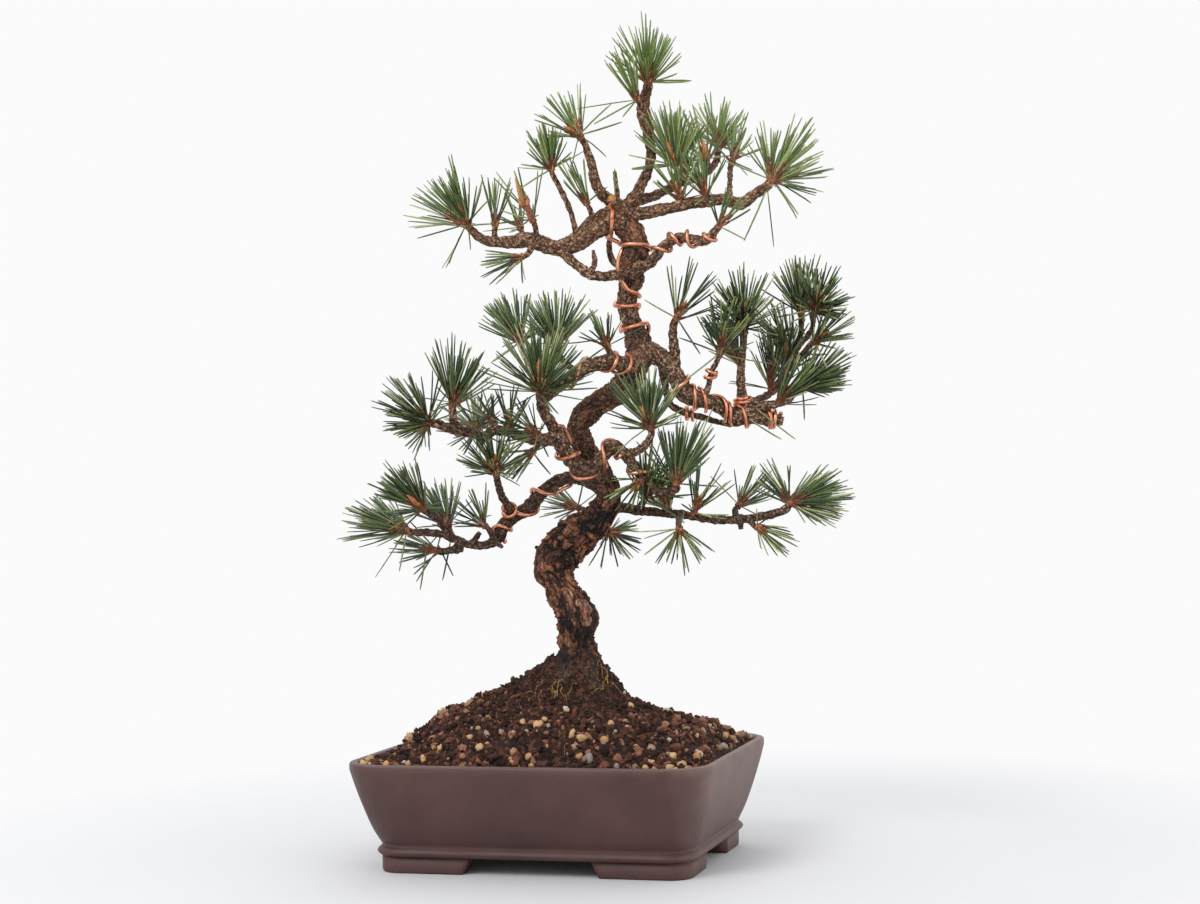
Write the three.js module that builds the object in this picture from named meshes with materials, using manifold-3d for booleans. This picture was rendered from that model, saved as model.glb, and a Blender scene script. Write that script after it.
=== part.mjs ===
// A Japanese black pine bonsai in its rectangular clay pot, in millimetres, +Z up, +X along the pot.
// The tree is laid out as it is seen from the front: u runs right, w up, and y away from the viewer.
import * as THREE from "three";
import { mergeVertices } from "three/addons/utils/BufferGeometryUtils.js";
import Module from "manifold-3d";

const wasm = await Module();
wasm.setup();

// The front of the tree is turned from the front of the pot, and is seen from this place.
const FRONT_TURN = THREE.MathUtils.degToRad(16.7);
const EYE = { u: 31, w: 268, distance: 1560 };

// Storeys of limbs reach forward on one side and back on the other, by turns up the trunk: the
// listed depths are spread by a factor, and turned by a share of the distance from the middle.
const STOREY = { spread: 1.6, turn: 0.25, height: 190, level: 320 };

// What touches keeps this gap, and a needle keeps a little more from other sprays.
const SEAT_GAP = 0.35;
const NEEDLE_GAP = 0.35;

// Pot: each level of the outer wall and of the inside is height, half length, half width, corner radius.
const WALL = [
  [11, 105.5, 75, 17],
  [11.7, 108.4, 78.2, 19],
  [14, 110, 80, 20],
  [16.3, 108.6, 78.8, 19.6],
  [17.6, 107, 77.4, 20],
  [29, 112, 85.5, 24],
  [42, 116.5, 91, 27],
  [57, 121, 95.8, 29],
  [69, 124, 99, 30],
  [72.8, 124, 99, 30],
  [74, 122.8, 97.8, 29],
];
const HOLLOW = [
  [17, 99, 69.5, 14],
  [29, 105, 78.5, 18],
  [42, 109.5, 84, 21],
  [57, 114, 88.8, 23],
  [69, 117, 92, 24],
  [74, 118.8, 93.8, 25],
];
const ABOVE_RIM = 1;
const FLOOR = HOLLOW[0][0];
const CORNER_STEPS = 4;
const FEET = { length: 213, width: 151, corner: 14, height: 12, thick: 15 };
const FOOT_GAP = { front: 94, frontTop: 82, side: 60, sideTop: 55 };
const DRAIN = { x: 48, radius: 8, mesh: 25, thick: 1.2, hole: 7, pitch: 10 };
const ANCHOR = { x: 12, y: -34, wire: 0.8, hole: 2.4, low: 5, top: 25 };

// Soil: the height of its edge, and how far the mound stands above it on the left and on the right,
// at shares of the mound's reach from the trunk.
const SOIL_EDGE = 71;
const MOUND = [
  [0, 66, 60], [0.14, 65, 57], [0.19, 61, 48], [0.26, 52, 36], [0.36, 46, 29], [0.49, 38, 23],
  [0.6, 31.5, 18.5], [0.7, 26, 15.5], [0.8, 17.5, 12], [0.9, 8.5, 7], [1, 1, 1],
];
const MOUND_REACH = { x: 138, y: 102 };
const SOIL_SHORE = 0.16;
const SOIL_RELIEF = 1.3;
const SOIL_RINGS = [1, 0.96, 0.88, 0.78, 0.67, 0.56, 0.45, 0.34, 0.24, 0.13];

// Trunk foot: the plain plug that stands in the hole in the soil.
const FOOT = { u: 13.5, y: 0, radius: 18, low: 96, high: 126 };

// Limbs, from the trunk up: each point is u, w, y and the radius there.
const LIMBS = [
  ["trunk", 11, 8.5, 0.1, [
    [13.5, 120, 0, 16.2], [13.4, 130, 0, 16], [12.6, 139, -1, 14.2], [12, 149, -2, 13.2],
    [12.8, 160, -2, 15.2], [10.5, 169, -1, 14.2], [6, 178, 1, 12.6], [1, 187, 3, 12.6],
    [-1.6, 196, 5, 14.8], [-0.5, 204, 5, 15.8], [5, 211.5, 4, 15.6], [14, 218.5, 3, 14.8],
    [24, 226, 2, 12.8], [31.5, 233.5, 1, 11.4], [35.5, 242, 1, 9.4], [34.5, 252, 1, 8.2],
    [29.5, 263, 2, 8.2], [23, 273, 4, 8], [17.5, 283, 5, 7.8], [16.5, 292, 5, 7.9],
    [22, 300, 3, 8.4], [32, 307.5, 0, 8.8], [43, 314, -3, 8.8], [51.5, 322, -4, 8.7],
    [57, 331, -3, 8.9], [60, 341, 0, 9.2], [58.5, 351, 3, 8.6], [55, 362, 5, 6.8],
    [52, 374, 6, 6.2], [53, 384, 6, 7], [55.5, 393, 5, 8.8], [57.5, 403, 3, 8.6],
    [60, 411, 1, 7.4], [56.5, 421, 0, 8.6], [52, 431, 0, 9], [50, 441, 0, 6.4],
  ]],
  ["apex", 5, 14, 0, [
    [52, 438, 0, 5], [60, 446, 0, 4.4], [66, 457, 2, 3.9], [70.5, 467, 4, 3.7],
    [72, 478, 5, 3.4], [70, 490, 4, 3.2], [67, 501, 2, 3], [67, 510, 0, 2.8], [70, 520, -2, 2.4],
  ]],
  ["crown_left", 5, 14, 0, [
    [49, 437, 0, 5], [38, 448, -4, 4], [33.5, 456, -6, 3.6], [31, 467, -6, 3.2],
    [28.5, 477, -4, 2.8], [26, 484, -4, 2.3],
  ]],
  ["left_limb", 6, 12, 0.05, [
    [50, 434, 0, 8], [34, 428, -3, 8.3], [20, 417, -4, 7.4], [8, 412, -4, 6], [-3, 415, -2, 5.4],
    [-13, 418, 1, 5.8], [-25, 417, 4, 4.2], [-35, 417, 6, 3.5], [-43, 418.5, 6, 3.2],
    [-51, 426, 5, 2.8],
  ]],
  ["left_strut", 5, 14, 0, [
    [55, 393, 2, 5], [45, 391, -8, 3.6], [36, 391, -12, 3.4], [27, 394, -13, 3.3],
    [19, 401, -11, 3.3], [10, 409, -6, 3.3],
  ]],
  ["left_hook", 4, 16, 0, [
    [27, 394, -13, 2.6], [31, 403, -17, 2], [30, 411, -19, 1.4],
  ]],
  ["back_twig", 4, 16, 0, [
    [55, 396, 5, 3.4], [43, 404, 14, 2.2], [41, 414, 17, 2], [43, 423, 19, 1.4],
  ]],
  ["upper_right", 5, 14, 0.04, [
    [52, 434, 0, 5.5], [63, 433, -4, 4.8], [74, 435.5, -6, 4.2], [85, 437, -5, 4], [96, 440, -3, 4.2],
    [108, 442, 0, 3.9], [120, 443, 2, 3.8], [131, 440, 4, 3.9], [141, 446, 4, 3.5], [149, 451, 3, 3.4],
  ]],
  ["upper_right_two", 5, 14, 0, [
    [58, 443, 0, 4.4], [70, 446, 8, 3.6], [82, 451, 13, 3.1], [93, 456, 17, 2.9],
    [104, 459, 20, 2.7], [113, 466, 22, 2.4], [117, 476, 25, 2.1],
  ]],
  ["upper_right_low", 5, 14, 0, [
    [57, 398, 2, 5], [68, 400, -6, 3.8], [78, 411, -8, 3.7], [88, 416.5, -8, 3.6],
    [98, 415, -8, 3.4], [107, 416, -9, 3], [113, 422, -10, 2.4],
  ]],
  ["right_limb", 6, 12, 0.05, [
    [58, 341, 0, 8], [70, 339, -3, 6.6], [79, 332, -5, 6.3], [85, 322, -6, 6.3], [90, 312.5, -6, 6.4],
    [99, 308, -5, 6], [109, 305, -3, 4.8], [117, 299.5, 0, 4.6], [127, 295.5, 2, 5],
    [138, 295, 3, 5], [148, 293.5, 4, 4.8], [156, 291.5, 4, 3],
  ]],
  ["right_knee", 5, 14, 0, [
    [87, 318, -6, 4.5], [84, 328, -6, 3.8], [83.5, 340, -5, 3.6], [83, 351, -4, 3.1],
    [83.5, 360, -4, 2.6],
  ]],
  ["right_post", 5, 14, 0, [
    [129, 296, 2, 5], [129, 305, 0, 4.4], [128, 316, -2, 3], [128.5, 330, -3, 2.8],
    [130, 343, -4, 2.6], [131, 353, -4, 2.2],
  ]],
  ["right_rear", 4, 16, 0, [
    [128, 303, 0, 4], [137, 306, 6, 2.9], [148, 311, 13, 2.6], [157, 322, 18, 2.5],
    [164, 336, 20, 2.4], [169, 349, 21, 2.2], [170, 361, 22, 2],
  ]],
  ["right_tip", 5, 14, 0, [
    [132, 301, 0, 4.4], [142, 302.5, -2, 3.2], [152, 303.5, -4, 2.9], [160, 307, -5, 2.8],
    [166, 312.5, -6, 2.3],
  ]],
  ["right_under", 4, 16, 0, [
    [74, 336, -4, 3], [76, 320, 5, 2.6], [80, 305, 9, 2.3], [90, 299, 9, 2.3], [101, 296, 8, 2.2],
    [111, 292.5, 6, 2.2], [121, 291, 4, 2.2], [131, 292, 2, 2.2],
  ]],
  ["right_peg", 4, 16, 0, [
    [101, 308, -5, 3], [106, 317, -9, 2.1], [108, 326, -12, 2], [113, 335, -14, 1.8],
  ]],
  ["middle_left", 5, 12, 0.05, [
    [57, 332, -3, 6.5], [48, 333, -10, 5.2], [39, 335.5, -15, 4.8], [29, 333.5, -17, 4.6],
    [20, 330, -17, 4.5], [12, 325, -16, 4.2], [3, 318, -15, 3.6], [-5, 311, -16, 3],
  ]],
  ["fork_left", 6, 12, 0.05, [
    [31, 257, 0, 8], [20, 262, -8, 6.6], [13, 268, -11, 5.8], [7, 276, -12, 5.8], [3, 285, -12, 5.2],
    [-1, 293, -13, 4], [-6, 302, -15, 3.6], [-8.5, 312, -18, 3.1],
  ]],
  ["fork_left_out", 5, 14, 0, [
    [3, 284, -12, 5], [-9, 283.5, -12, 3.8], [-19, 285.5, -10, 3.6], [-29, 289, -8, 3.5],
    [-40, 290.5, -5, 3.4], [-47, 286.5, -4, 3.3], [-56, 289.5, -5, 3.2], [-64, 291, -7, 3.2],
    [-72, 293, -8, 3.2], [-79, 296, -8, 2.8],
  ]],
  ["left_peg", 4, 16, 0, [
    [-64, 291, -7, 3.4], [-67.5, 298, -12, 2.8], [-68, 306, -15, 2.5],
  ]],
  ["fork_right", 5, 12, 0.04, [
    [20, 262, -8, 6], [28, 265.5, -12, 4.8], [34, 272, -14, 4.6], [41, 277.5, -15, 4.8],
    [47, 273, -15, 4], [53, 265, -15, 3.6], [59, 257, -14, 3.5], [65, 250, -13, 3.4],
    [73, 246, -12, 3.1], [81, 247, -12, 2.8],
  ]],
  ["centre_peg", 4, 16, 0, [
    [42, 277, -15, 3.6], [51, 273, -20, 2.8], [58.5, 275, -24, 2.7], [64, 280, -27, 2.7],
    [66.5, 286, -29, 2.5],
  ]],
  ["lower_left", 6, 12, 0.05, [
    [33, 250, 1, 7.5], [20, 256, 3, 5.6], [10, 257.5, 5, 4.5], [0, 253.5, 6, 4.4], [-9, 248, 6, 4.4],
    [-15.5, 240.5, 5, 4.5], [-22.5, 235, 4, 4.5], [-30, 230.5, 3, 4.5], [-36, 225.5, 2, 4.4],
    [-38.5, 219, 1, 4], [-43.5, 214.5, 0, 3.2], [-51.5, 213, -1, 2.8], [-60.5, 214, -2, 2.7],
    [-68.5, 217.5, -3, 2.7], [-77, 221, -4, 2.7], [-87, 222.5, -5, 2.7], [-97, 223, -5, 2.5],
  ]],
  ["lower_left_post", 4, 16, 0, [
    [-31, 230, 3, 3.4], [-31.5, 238, -4, 2.6], [-36, 245, -10, 2.5], [-38, 252, -14, 2.4],
    [-39.5, 259, -17, 2.2],
  ]],
  ["lower_left_rise", 4, 16, 0, [
    [-72, 219, -3, 2.7], [-79, 230, -7, 2.4], [-87, 236.5, -10, 2.2],
  ]],
  ["lower_left_drop", 4, 16, 0, [
    [-63, 215, -2, 2.7], [-69, 211, 4, 2.5], [-78, 209.5, 7, 2.4],
  ]],
  ["lower_right", 5, 14, 0.04, [
    [33, 236, 1, 6], [45, 236, 8, 3.4], [55, 234, 10, 3.2], [66, 232.5, 8, 3], [77, 231, 4, 2.9],
    [88, 230, 1, 2.8], [100, 227.5, 0, 2.8], [111, 226, 0, 2.8], [123, 226, 0, 2.9],
    [135, 227, 0, 2.8], [147, 229, 0, 2.8], [157, 232, 0, 2.6],
  ]],
];

// Short cut-back stubs and old shoots with no needles: from, to and the radius at each end.
const STUBS = [
  [[50, 438, 0], [44, 447, -6], 3, 2.2],
  [[48, 440, 0], [46, 464, -8], 2, 1.4],
  [[124, 226, 0], [125.5, 219.5, 1], 2.4, 1.8],
  [[-47, 287, -4], [-50, 280, -5], 2.2, 1.5],
  [[-41, 215, 0], [-37, 211.5, -2], 2.4, 1.6],
  [[-57, 214, -2], [-52, 221.5, -4], 2.4, 1.9],
  [[-68, 211, 4], [-64, 211.5, 3], 3.2, 2.8],
  [[-1, 205, 5], [-14.6, 211, 2], 2, 1.2],
];

// Sprays: a name and one or more shoots. A shoot has its twig's points from the limb, the last of
// which is where the shoot begins, then the bud's tip, and its needles' count, length and spread.
const SPRAYS = [
  ["apex", [[[70, 520, -2]], [69, 534, -4], 17, 39, 62]],
  ["apex_left", [[[67, 506, 0], [63, 509, -4]], [54, 514, -10], 11, 34, 42]],
  ["crown_left",
    [[[26, 484, -4]], [20, 501, 0], 10, 31, 32],
    [[[26, 484, -4]], [12, 496, -11], 9, 30, 34]],
  ["crown_low",
    [[[20, 417, -4], [16, 436, -12], [9, 453, -15], [4, 464, -15]], [0, 477, -16], 13, 26, 58]],
  ["crown_side", [[[33, 428, -3], [28, 440, -13]], [23, 451, -17], 9, 27, 36]],
  ["far_left",
    [[[-51, 426, 5]], [-60, 446, 0], 13, 34, 44],
    [[[-51, 426, 5]], [-71, 438, 8], 12, 36, 36]],
  ["left_rise", [[[-37, 417, 6], [-36, 427, 9]], [-35, 440, 11], 10, 35, 34]],
  ["left_candle", [[[-8, 416, -1], [-9, 429, -11]], [-18, 452, -16], 12, 32, 46]],
  ["left_under", [[[-10, 417, 0], [-15, 409, -8]], [-27, 405, -13], 10, 27, 44]],
  ["left_back", [[[-19, 417, 2], [-18, 425, 22]], [-22, 437, 30], 9, 24, 52]],
  ["right_crown", [[[84, 452, 13], [88, 463, 0]], [83, 480, -6], 16, 36, 62]],
  ["right_back", [[[110, 463, 21], [109, 467, 12]], [107, 480, 8], 12, 33, 50]],
  ["right_rear_top", [[[117, 476, 25]], [114, 495, 30], 14, 32, 52]],
  ["right_crest", [[[123, 442, 3], [124, 455, 12], [125, 466, 16]], [130, 480, 18], 10, 27, 46]],
  ["right_fan",
    [[[149, 451, 3]], [151, 472, 0], 9, 35, 36],
    [[[149, 451, 3]], [166, 473, -7], 11, 35, 44],
    [[[149, 451, 3]], [171, 460, 10], 10, 32, 56]],
  ["right_low_tuft", [[[113, 422, -10]], [123, 434, -15], 9, 22, 62]],
  ["knee", [[[83.5, 360, -4]], [93, 376, -6], 14, 34, 58]],
  ["post", [[[131, 353, -4]], [132, 371, -7], 16, 34, 62]],
  ["peg", [[[113, 335, -14]], [119, 355, -20], 12, 34, 52]],
  ["rear_high", [[[170, 361, 22]], [170, 377, 28], 13, 34, 54]],
  ["rear_right", [[[166, 341, 20], [176, 352, 12], [179, 364, 7]], [185, 380, 4], 13, 28, 58]],
  ["rear_side", [[[161, 330, 19], [168, 335, 4], [176, 343, -6]], [187, 352, -11], 12, 27, 56]],
  ["tip", [[[166, 312.5, -6]], [183, 325, -10], 14, 30, 46]],
  ["centre", [[[66.5, 286, -29]], [61, 305, -34], 17, 34, 62]],
  ["outer_left",
    [[[-79, 296, -8]], [-94, 307, -11], 15, 35, 46],
    [[[-79, 296, -8]], [-92, 289, 4], 8, 31, 26]],
  ["outer_peg", [[[-68, 306, -15]], [-68, 322, -18], 16, 38, 46]],
  ["stub_back", [[[-2, 314, -15], [-14, 333, 4], [-20, 347, 12]], [-23, 362, 16], 14, 32, 56]],
  ["stub_rise", [[[17, 328, -17], [8, 337, -10], [4, 344, -8]], [3, 357, -9], 14, 32, 58]],
  ["stub_end", [[[41, 335, -14], [39, 343, -18]], [35, 354, -24], 10, 23, 52]],
  ["stub_front", [[[-8.5, 312, -18]], [-8.5, 332, -26], 18, 42, 66]],
  ["fork_side", [[[-4, 284, -12], [-9, 286, -20]], [-19, 294, -28], 12, 30, 52]],
  ["fork_low", [[[-10, 283, -12], [-12, 278, -7]], [-20, 271, -5], 9, 22, 44]],
  ["fork_bud", [[[-38, 290, -5], [-40, 295, -2]], [-44, 302, 2], 9, 18, 50]],
  ["fork_back", [[[-50, 287, -4], [-52, 290, 8]], [-55, 297, 22], 13, 32, 58]],
  ["low_post", [[[-39.5, 259, -17]], [-40, 275, -22], 15, 30, 66]],
  ["low_rise", [[[-87, 236.5, -10]], [-99, 247, -16], 17, 33, 62]],
  ["low_tip", [[[-97, 223, -5]], [-121, 228.5, -6], 18, 37, 54]],
  ["low_drop", [[[-78, 209.5, 7]], [-92, 212.5, 11], 12, 29, 44]],
  ["low_bud", [[[-41, 215, 0], [-46, 224, -9]], [-54, 232, -15], 10, 27, 46]],
  ["low_back", [[[-70, 218, -3], [-72, 224, 12]], [-76, 236, 20], 13, 30, 52]],
  ["trunk_left", [[[27, 229, 2], [18, 236, 24]], [4, 240, 32], 12, 25, 50]],
  ["trunk_right", [[[28, 227, 2], [34, 221, 18]], [40, 216, 27], 13, 26, 64]],
  ["fork_end", [[[81, 247, -12]], [88, 268, -17], 16, 34, 60]],
  ["low_right", [[[55, 234, 10], [60, 240, 0]], [65, 252, -5], 14, 32, 66]],
  ["low_hang", [[[84, 230, 2], [83, 224, -12]], [85, 213, -18], 15, 28, 74]],
  ["low_mid", [[[122, 226, 0], [122, 233, 8]], [131, 242, 13], 11, 27, 44]],
  ["low_end",
    [[[157, 232, 0]], [153, 245, -4], 9, 24, 48],
    [[[157, 232, 0]], [178, 241, -1], 14, 30, 58]],
  ["low_stub", [[[131, 226.5, 0], [134, 222, -3]], [144, 216, -7], 9, 25, 36]],
];

// A shoot's rings, from its foot to the belly of its bud, and its needles at true width. A needle
// is drawn from the middle of a face, and past free its neighbours are tested for crossing.
const SHOOT = { radii: [1.9, 1.7, 1.6, 2], shares: [0, 0.26, 0.52, 0.78], sides: 5 };
const NEEDLE = { root: 0.8, inset: 0.4, free: 4 };
const FORWARD = 0.62;
const TWIG = { radius: 1.9, swell: 1.35, sides: 4, step: 20 };
const COLLAR = 2.6;
const FORK_STEM = 1.8;
const TRIES = 40;

// Training wires: the limbs that each is wound on. Each pair is a place among the limb's points and
// the turns so far: a whole number is on the front, and the turns go on to the limb's right-hand side.
const WIRE = { radius: 1.2, sides: 5, stepsPerTurn: 8, spare: 0.15, rounds: 80 };
const WIRES = [
  ["crown",
    ["left_limb", [0.35, 0.2], [0.6, 0], [0.9, -0.3]],
    ["trunk", [32.9, -0.3], [32.35, 0], [31.95, 0.25], [31.6, 0.72], [30.2, 0.85], [29.2, 1],
      [28.6, 1.25], [28, 1.75], [27.9, 2], [27.8, 2.25], [26.7, 2.75], [26.6, 3.2], [26.2, 3.35]]],
  ["middle_left",
    ["middle_left", [0.7, 0.25], [1, 0], [1.3, -0.25], [1.7, -0.75], [1.95, -1], [2.2, -1.25],
      [3.3, -1.7], [4.3, -2], [5.3, -2.25], [5.6, -2.6]]],
  ["fork",
    ["fork_left", [5, 0.1], [4.5, 0.25], [3.1, 0.35], [2.9, 0.75], [2.6, 1], [2.2, 1.25],
      [1.3, 1.75], [0.8, 2], [0.6, 2.2]],
    ["fork_right", [0.9, -0.5], [1.3, -0.75], [2.1, -1], [2.6, -1.25], [3.9, -1.75], [4.1, -2],
      [4.3, -2.25], [5.2, -2.75], [6.2, -3.25], [6.6, -3.5]]],
  ["right",
    ["right_limb", [3.1, -0.3], [3.4, 0], [3.7, 0.25], [4.1, 0.75], [4.5, 1], [4.9, 1.25],
      [6.2, 1.75], [6.8, 2], [7.3, 2.25], [7.9, 2.8], [8.3, 3.2], [9.5, 3.8], [10.2, 4.25],
      [10.7, 4.8]]],
  ["lower_left",
    ["lower_left", [1.8, -0.5], [2.2, -0.3], [3.2, -0.22], [3.9, 0], [4.3, 0.25], [5.2, 0.75],
      [6.2, 1], [7.2, 1.25], [7.7, 1.75], [8.1, 2], [8.5, 2.25], [9.2, 2.8]]],
  ["upper_right",
    ["upper_right_low", [1.6, -0.3], [2.1, 0.2], [2.6, 0.75], [2.85, 1], [3.1, 1.25], [3.7, 2],
      [4.2, 2.4], [5.1, 2.8], [5.3, 3], [5.5, 3.25]]],
];

const CLAY = { color: 0x5d4a46, roughness: 0.85 };
const PEAT = { color: 0x3a2a22, roughness: 1 };
const BARK = { color: 0x5c4232, roughness: 0.95 };
const NEEDLES = { color: 0x3c5a38, roughness: 0.55 };
const COPPER = { color: 0xb8714f, roughness: 0.35, metalness: 1 };
const STEEL = { color: 0x3b3632, roughness: 0.5, metalness: 1 };
const MESH = { color: 0x20242a, roughness: 0.6 };

// A repeatable random number from 0 to 1 for each seed.
function random(seed) {
  let state = seed >>> 0;
  return () => {
    state = (state + 0x6d2b79f5) >>> 0;
    let mixed = Math.imul(state ^ (state >>> 15), state | 1);
    mixed ^= mixed + Math.imul(mixed ^ (mixed >>> 7), mixed | 61);
    return ((mixed ^ (mixed >>> 14)) >>> 0) / 4294967296;
  };
}

// The place of a point that the front view shows at u and w, from its listed depth y.
function spot([u, w, y]) {
  const storey = Math.cos((2 * Math.PI * (w - STOREY.level)) / STOREY.height);
  const depth = STOREY.spread * y + STOREY.turn * (u - EYE.u) * storey;
  const spread = 1 + depth / EYE.distance;
  const across = EYE.u + (u - EYE.u) * spread;
  const up = EYE.w + (w - EYE.w) * spread;
  return new THREE.Vector3(across, depth, up).applyAxisAngle(new THREE.Vector3(0, 0, 1), FRONT_TURN);
}

// A closed three.js geometry as a solid that can be joined and cut.
function solid(geometry) {
  geometry.deleteAttribute("normal");
  geometry.deleteAttribute("uv");
  const merged = mergeVertices(geometry, 1e-4);
  return new wasm.Manifold(
    new wasm.Mesh({
      numProp: 3,
      vertProperties: new Float32Array(merged.attributes.position.array),
      triVerts: new Uint32Array(merged.index.array),
    }),
  );
}

function united(solids) {
  return solids.reduce((sum, one) => sum.add(one));
}

const group = new THREE.Group();

function addMesh(name, made, finish) {
  const { numProp, vertProperties, triVerts } = made.getMesh();
  const corners = new Float32Array((vertProperties.length / numProp) * 3);
  for (let i = 0; i < corners.length / 3; i += 1) {
    corners.set(vertProperties.subarray(i * numProp, i * numProp + 3), i * 3);
  }
  const geometry = new THREE.BufferGeometry();
  geometry.setAttribute("position", new THREE.BufferAttribute(corners, 3));
  geometry.setIndex(new THREE.BufferAttribute(new Uint32Array(triVerts), 1));
  geometry.computeVertexNormals();
  const mesh = new THREE.Mesh(geometry, new THREE.MeshStandardMaterial(finish));
  mesh.name = name;
  group.add(mesh);
}

// A closed cylinder whose every corner is placed by a rule: along and turn run from 0 to 1,
// and out is 0 in the middle of a cap and 1 on the skin.
function shaped(sides, steps, rule) {
  const geometry = new THREE.CylinderGeometry(1, 1, 1, sides, steps);
  const position = geometry.attributes.position;
  const corner = new THREE.Vector3();
  for (let i = 0; i < position.count; i += 1) {
    corner.fromBufferAttribute(position, i);
    const out = Math.hypot(corner.x, corner.z) > 0.5 ? 1 : 0;
    const turn = (Math.atan2(corner.x, corner.z) / (2 * Math.PI) + 1) % 1;
    position.setXYZ(i, ...rule(corner.y + 0.5, turn, out).toArray());
  }
  return solid(geometry);
}

// The point at a share of the way round a rectangle with round corners.
function roundedPoint(turn, halfLength, halfWidth, corner) {
  const index = Math.round(turn * 4 * (CORNER_STEPS + 1)) % (4 * (CORNER_STEPS + 1));
  const side = Math.floor(index / (CORNER_STEPS + 1));
  const bend = (index % (CORNER_STEPS + 1)) / CORNER_STEPS;
  const angle = ((side + bend) * Math.PI) / 2;
  const signX = side === 0 || side === 3 ? 1 : -1;
  const signY = side < 2 ? 1 : -1;
  const x = signX * (halfLength - corner) + corner * Math.cos(angle);
  const y = signY * (halfWidth - corner) + corner * Math.sin(angle);
  return new THREE.Vector2(x, y);
}

// A solid through level rings with round corners, each shrunk by inset.
function stacked(levels, inset = 0) {
  return shaped(4 * (CORNER_STEPS + 1), levels.length - 1, (along, turn, out) => {
    const [z, halfLength, halfWidth, corner] = levels[Math.round(along * (levels.length - 1))];
    const { x, y } = roundedPoint(turn, halfLength - inset, halfWidth - inset, corner - inset);
    return new THREE.Vector3(x * out, y * out, z);
  });
}

function block(x, y, z, centre) {
  return solid(new THREE.BoxGeometry(x, y, z).translate(...centre));
}

function post(radius, low, high, x, y, sides = 12) {
  const geometry = new THREE.CylinderGeometry(radius, radius, high - low, sides);
  return solid(geometry.rotateX(Math.PI / 2).translate(x, y, (low + high) / 2));
}

// The slanted gap between two feet, cut right through the pot along Y.
function footGap(bottom, top, long) {
  const outline = new THREE.Shape([
    new THREE.Vector2(-bottom / 2, -1),
    new THREE.Vector2(bottom / 2, -1),
    new THREE.Vector2(top / 2, WALL[0][0]),
    new THREE.Vector2(-top / 2, WALL[0][0]),
  ]);
  const geometry = new THREE.ExtrudeGeometry(outline, { depth: long, bevelEnabled: false });
  return geometry.rotateX(Math.PI / 2).translate(0, long / 2, 0);
}

function makePot() {
  const { length, width, corner, height, thick } = FEET;
  const ring = (inset, low, high) =>
    stacked([low, high].map((z) => [z, length / 2 - inset, width / 2 - inset, corner - inset / 2]));
  const feet = ring(0, 0, height)
    .subtract(ring(thick, -1, WALL[0][0]))
    .subtract(solid(footGap(FOOT_GAP.front, FOOT_GAP.frontTop, 2 * width)))
    .subtract(solid(footGap(FOOT_GAP.side, FOOT_GAP.sideTop, 2 * length).rotateZ(Math.PI / 2)));
  const [, topLength, topWidth, topCorner] = HOLLOW[HOLLOW.length - 1];
  const hollow = [...HOLLOW, [WALL[WALL.length - 1][0] + ABOVE_RIM, topLength, topWidth, topCorner]];
  let pot = stacked(WALL).add(feet).subtract(stacked(hollow));
  for (const side of [-1, 1]) {
    pot = pot.subtract(post(DRAIN.radius, 0, FLOOR + 1, side * DRAIN.x, 0));
    pot = pot.subtract(post(ANCHOR.hole, 0, FLOOR + 1, side * ANCHOR.x, ANCHOR.y, 8));
  }
  return pot;
}

// Plastic mesh over a drainage hole: a plate with two rows of square holes.
function makeDrainMesh(side) {
  const middle = FLOOR + SEAT_GAP + DRAIN.thick / 2;
  let plate = block(DRAIN.mesh, DRAIN.mesh, DRAIN.thick, [side * DRAIN.x, 0, middle]);
  for (const column of [-0.5, 0.5]) {
    for (const row of [-0.5, 0.5]) {
      const place = [side * DRAIN.x + column * DRAIN.pitch, row * DRAIN.pitch, middle];
      plate = plate.subtract(block(DRAIN.hole, DRAIN.hole, 2 * DRAIN.thick, place));
    }
  }
  return plate;
}

// Anchor wire: up through one floor hole, along under the floor, and up through the other.
function makeAnchorWire() {
  const { x, y, low, top, wire } = ANCHOR;
  const path = new THREE.CatmullRomCurve3(
    [[-x, top], [-x, 14], [-x * 0.9, low + 2], [0, low], [x * 0.9, low + 2], [x, 14], [x, top]].map(
      ([across, up]) => new THREE.Vector3(across, y, up),
    ),
  );
  return extruded(path, wire, 5, 16);
}

function extruded(path, radius, sides, steps) {
  const ring = Array.from({ length: sides }, (_, i) => {
    const angle = (2 * Math.PI * i) / sides;
    return new THREE.Vector2(radius * Math.cos(angle), radius * Math.sin(angle));
  });
  const section = new THREE.Shape(ring);
  return solid(new THREE.ExtrudeGeometry(section, { steps, extrudePath: path, bevelEnabled: false }));
}

// A smooth bumpiness from -1 to 1, made of waves that run round and along.
function lumps(a, b) {
  return 0.5 * Math.sin(2.1 * a + 1.3 * b) + 0.3 * Math.sin(-3.7 * a + 2.9 * b + 1.7) +
    0.2 * Math.sin(5.3 * a + 4.1 * b + 0.6);
}

const footCentre = spot([FOOT.u, FOOT.high, FOOT.y]);

// Height of the soil at a share of the way from the trunk to the pot's wall, in a direction.
function soilHeight(share, reach, direction) {
  const lean = Math.cos(direction - FRONT_TURN);
  const far = share * reach *
    Math.hypot(Math.cos(direction) / MOUND_REACH.x, Math.sin(direction) / MOUND_REACH.y);
  const next = MOUND.findIndex(([place]) => place > far);
  if (next < 0) return SOIL_EDGE;
  const [from, leftFrom, rightFrom] = MOUND[next - 1];
  const [to, leftTo, rightTo] = MOUND[next];
  const part = (far - from) / (to - from);
  const left = THREE.MathUtils.lerp(leftFrom, leftTo, part);
  const right = THREE.MathUtils.lerp(rightFrom, rightTo, part);
  const shore = Math.min(1, (1 - share) / SOIL_SHORE);
  return SOIL_EDGE + THREE.MathUtils.lerp(left, right, (1 + lean) / 2) * shore;
}

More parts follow.
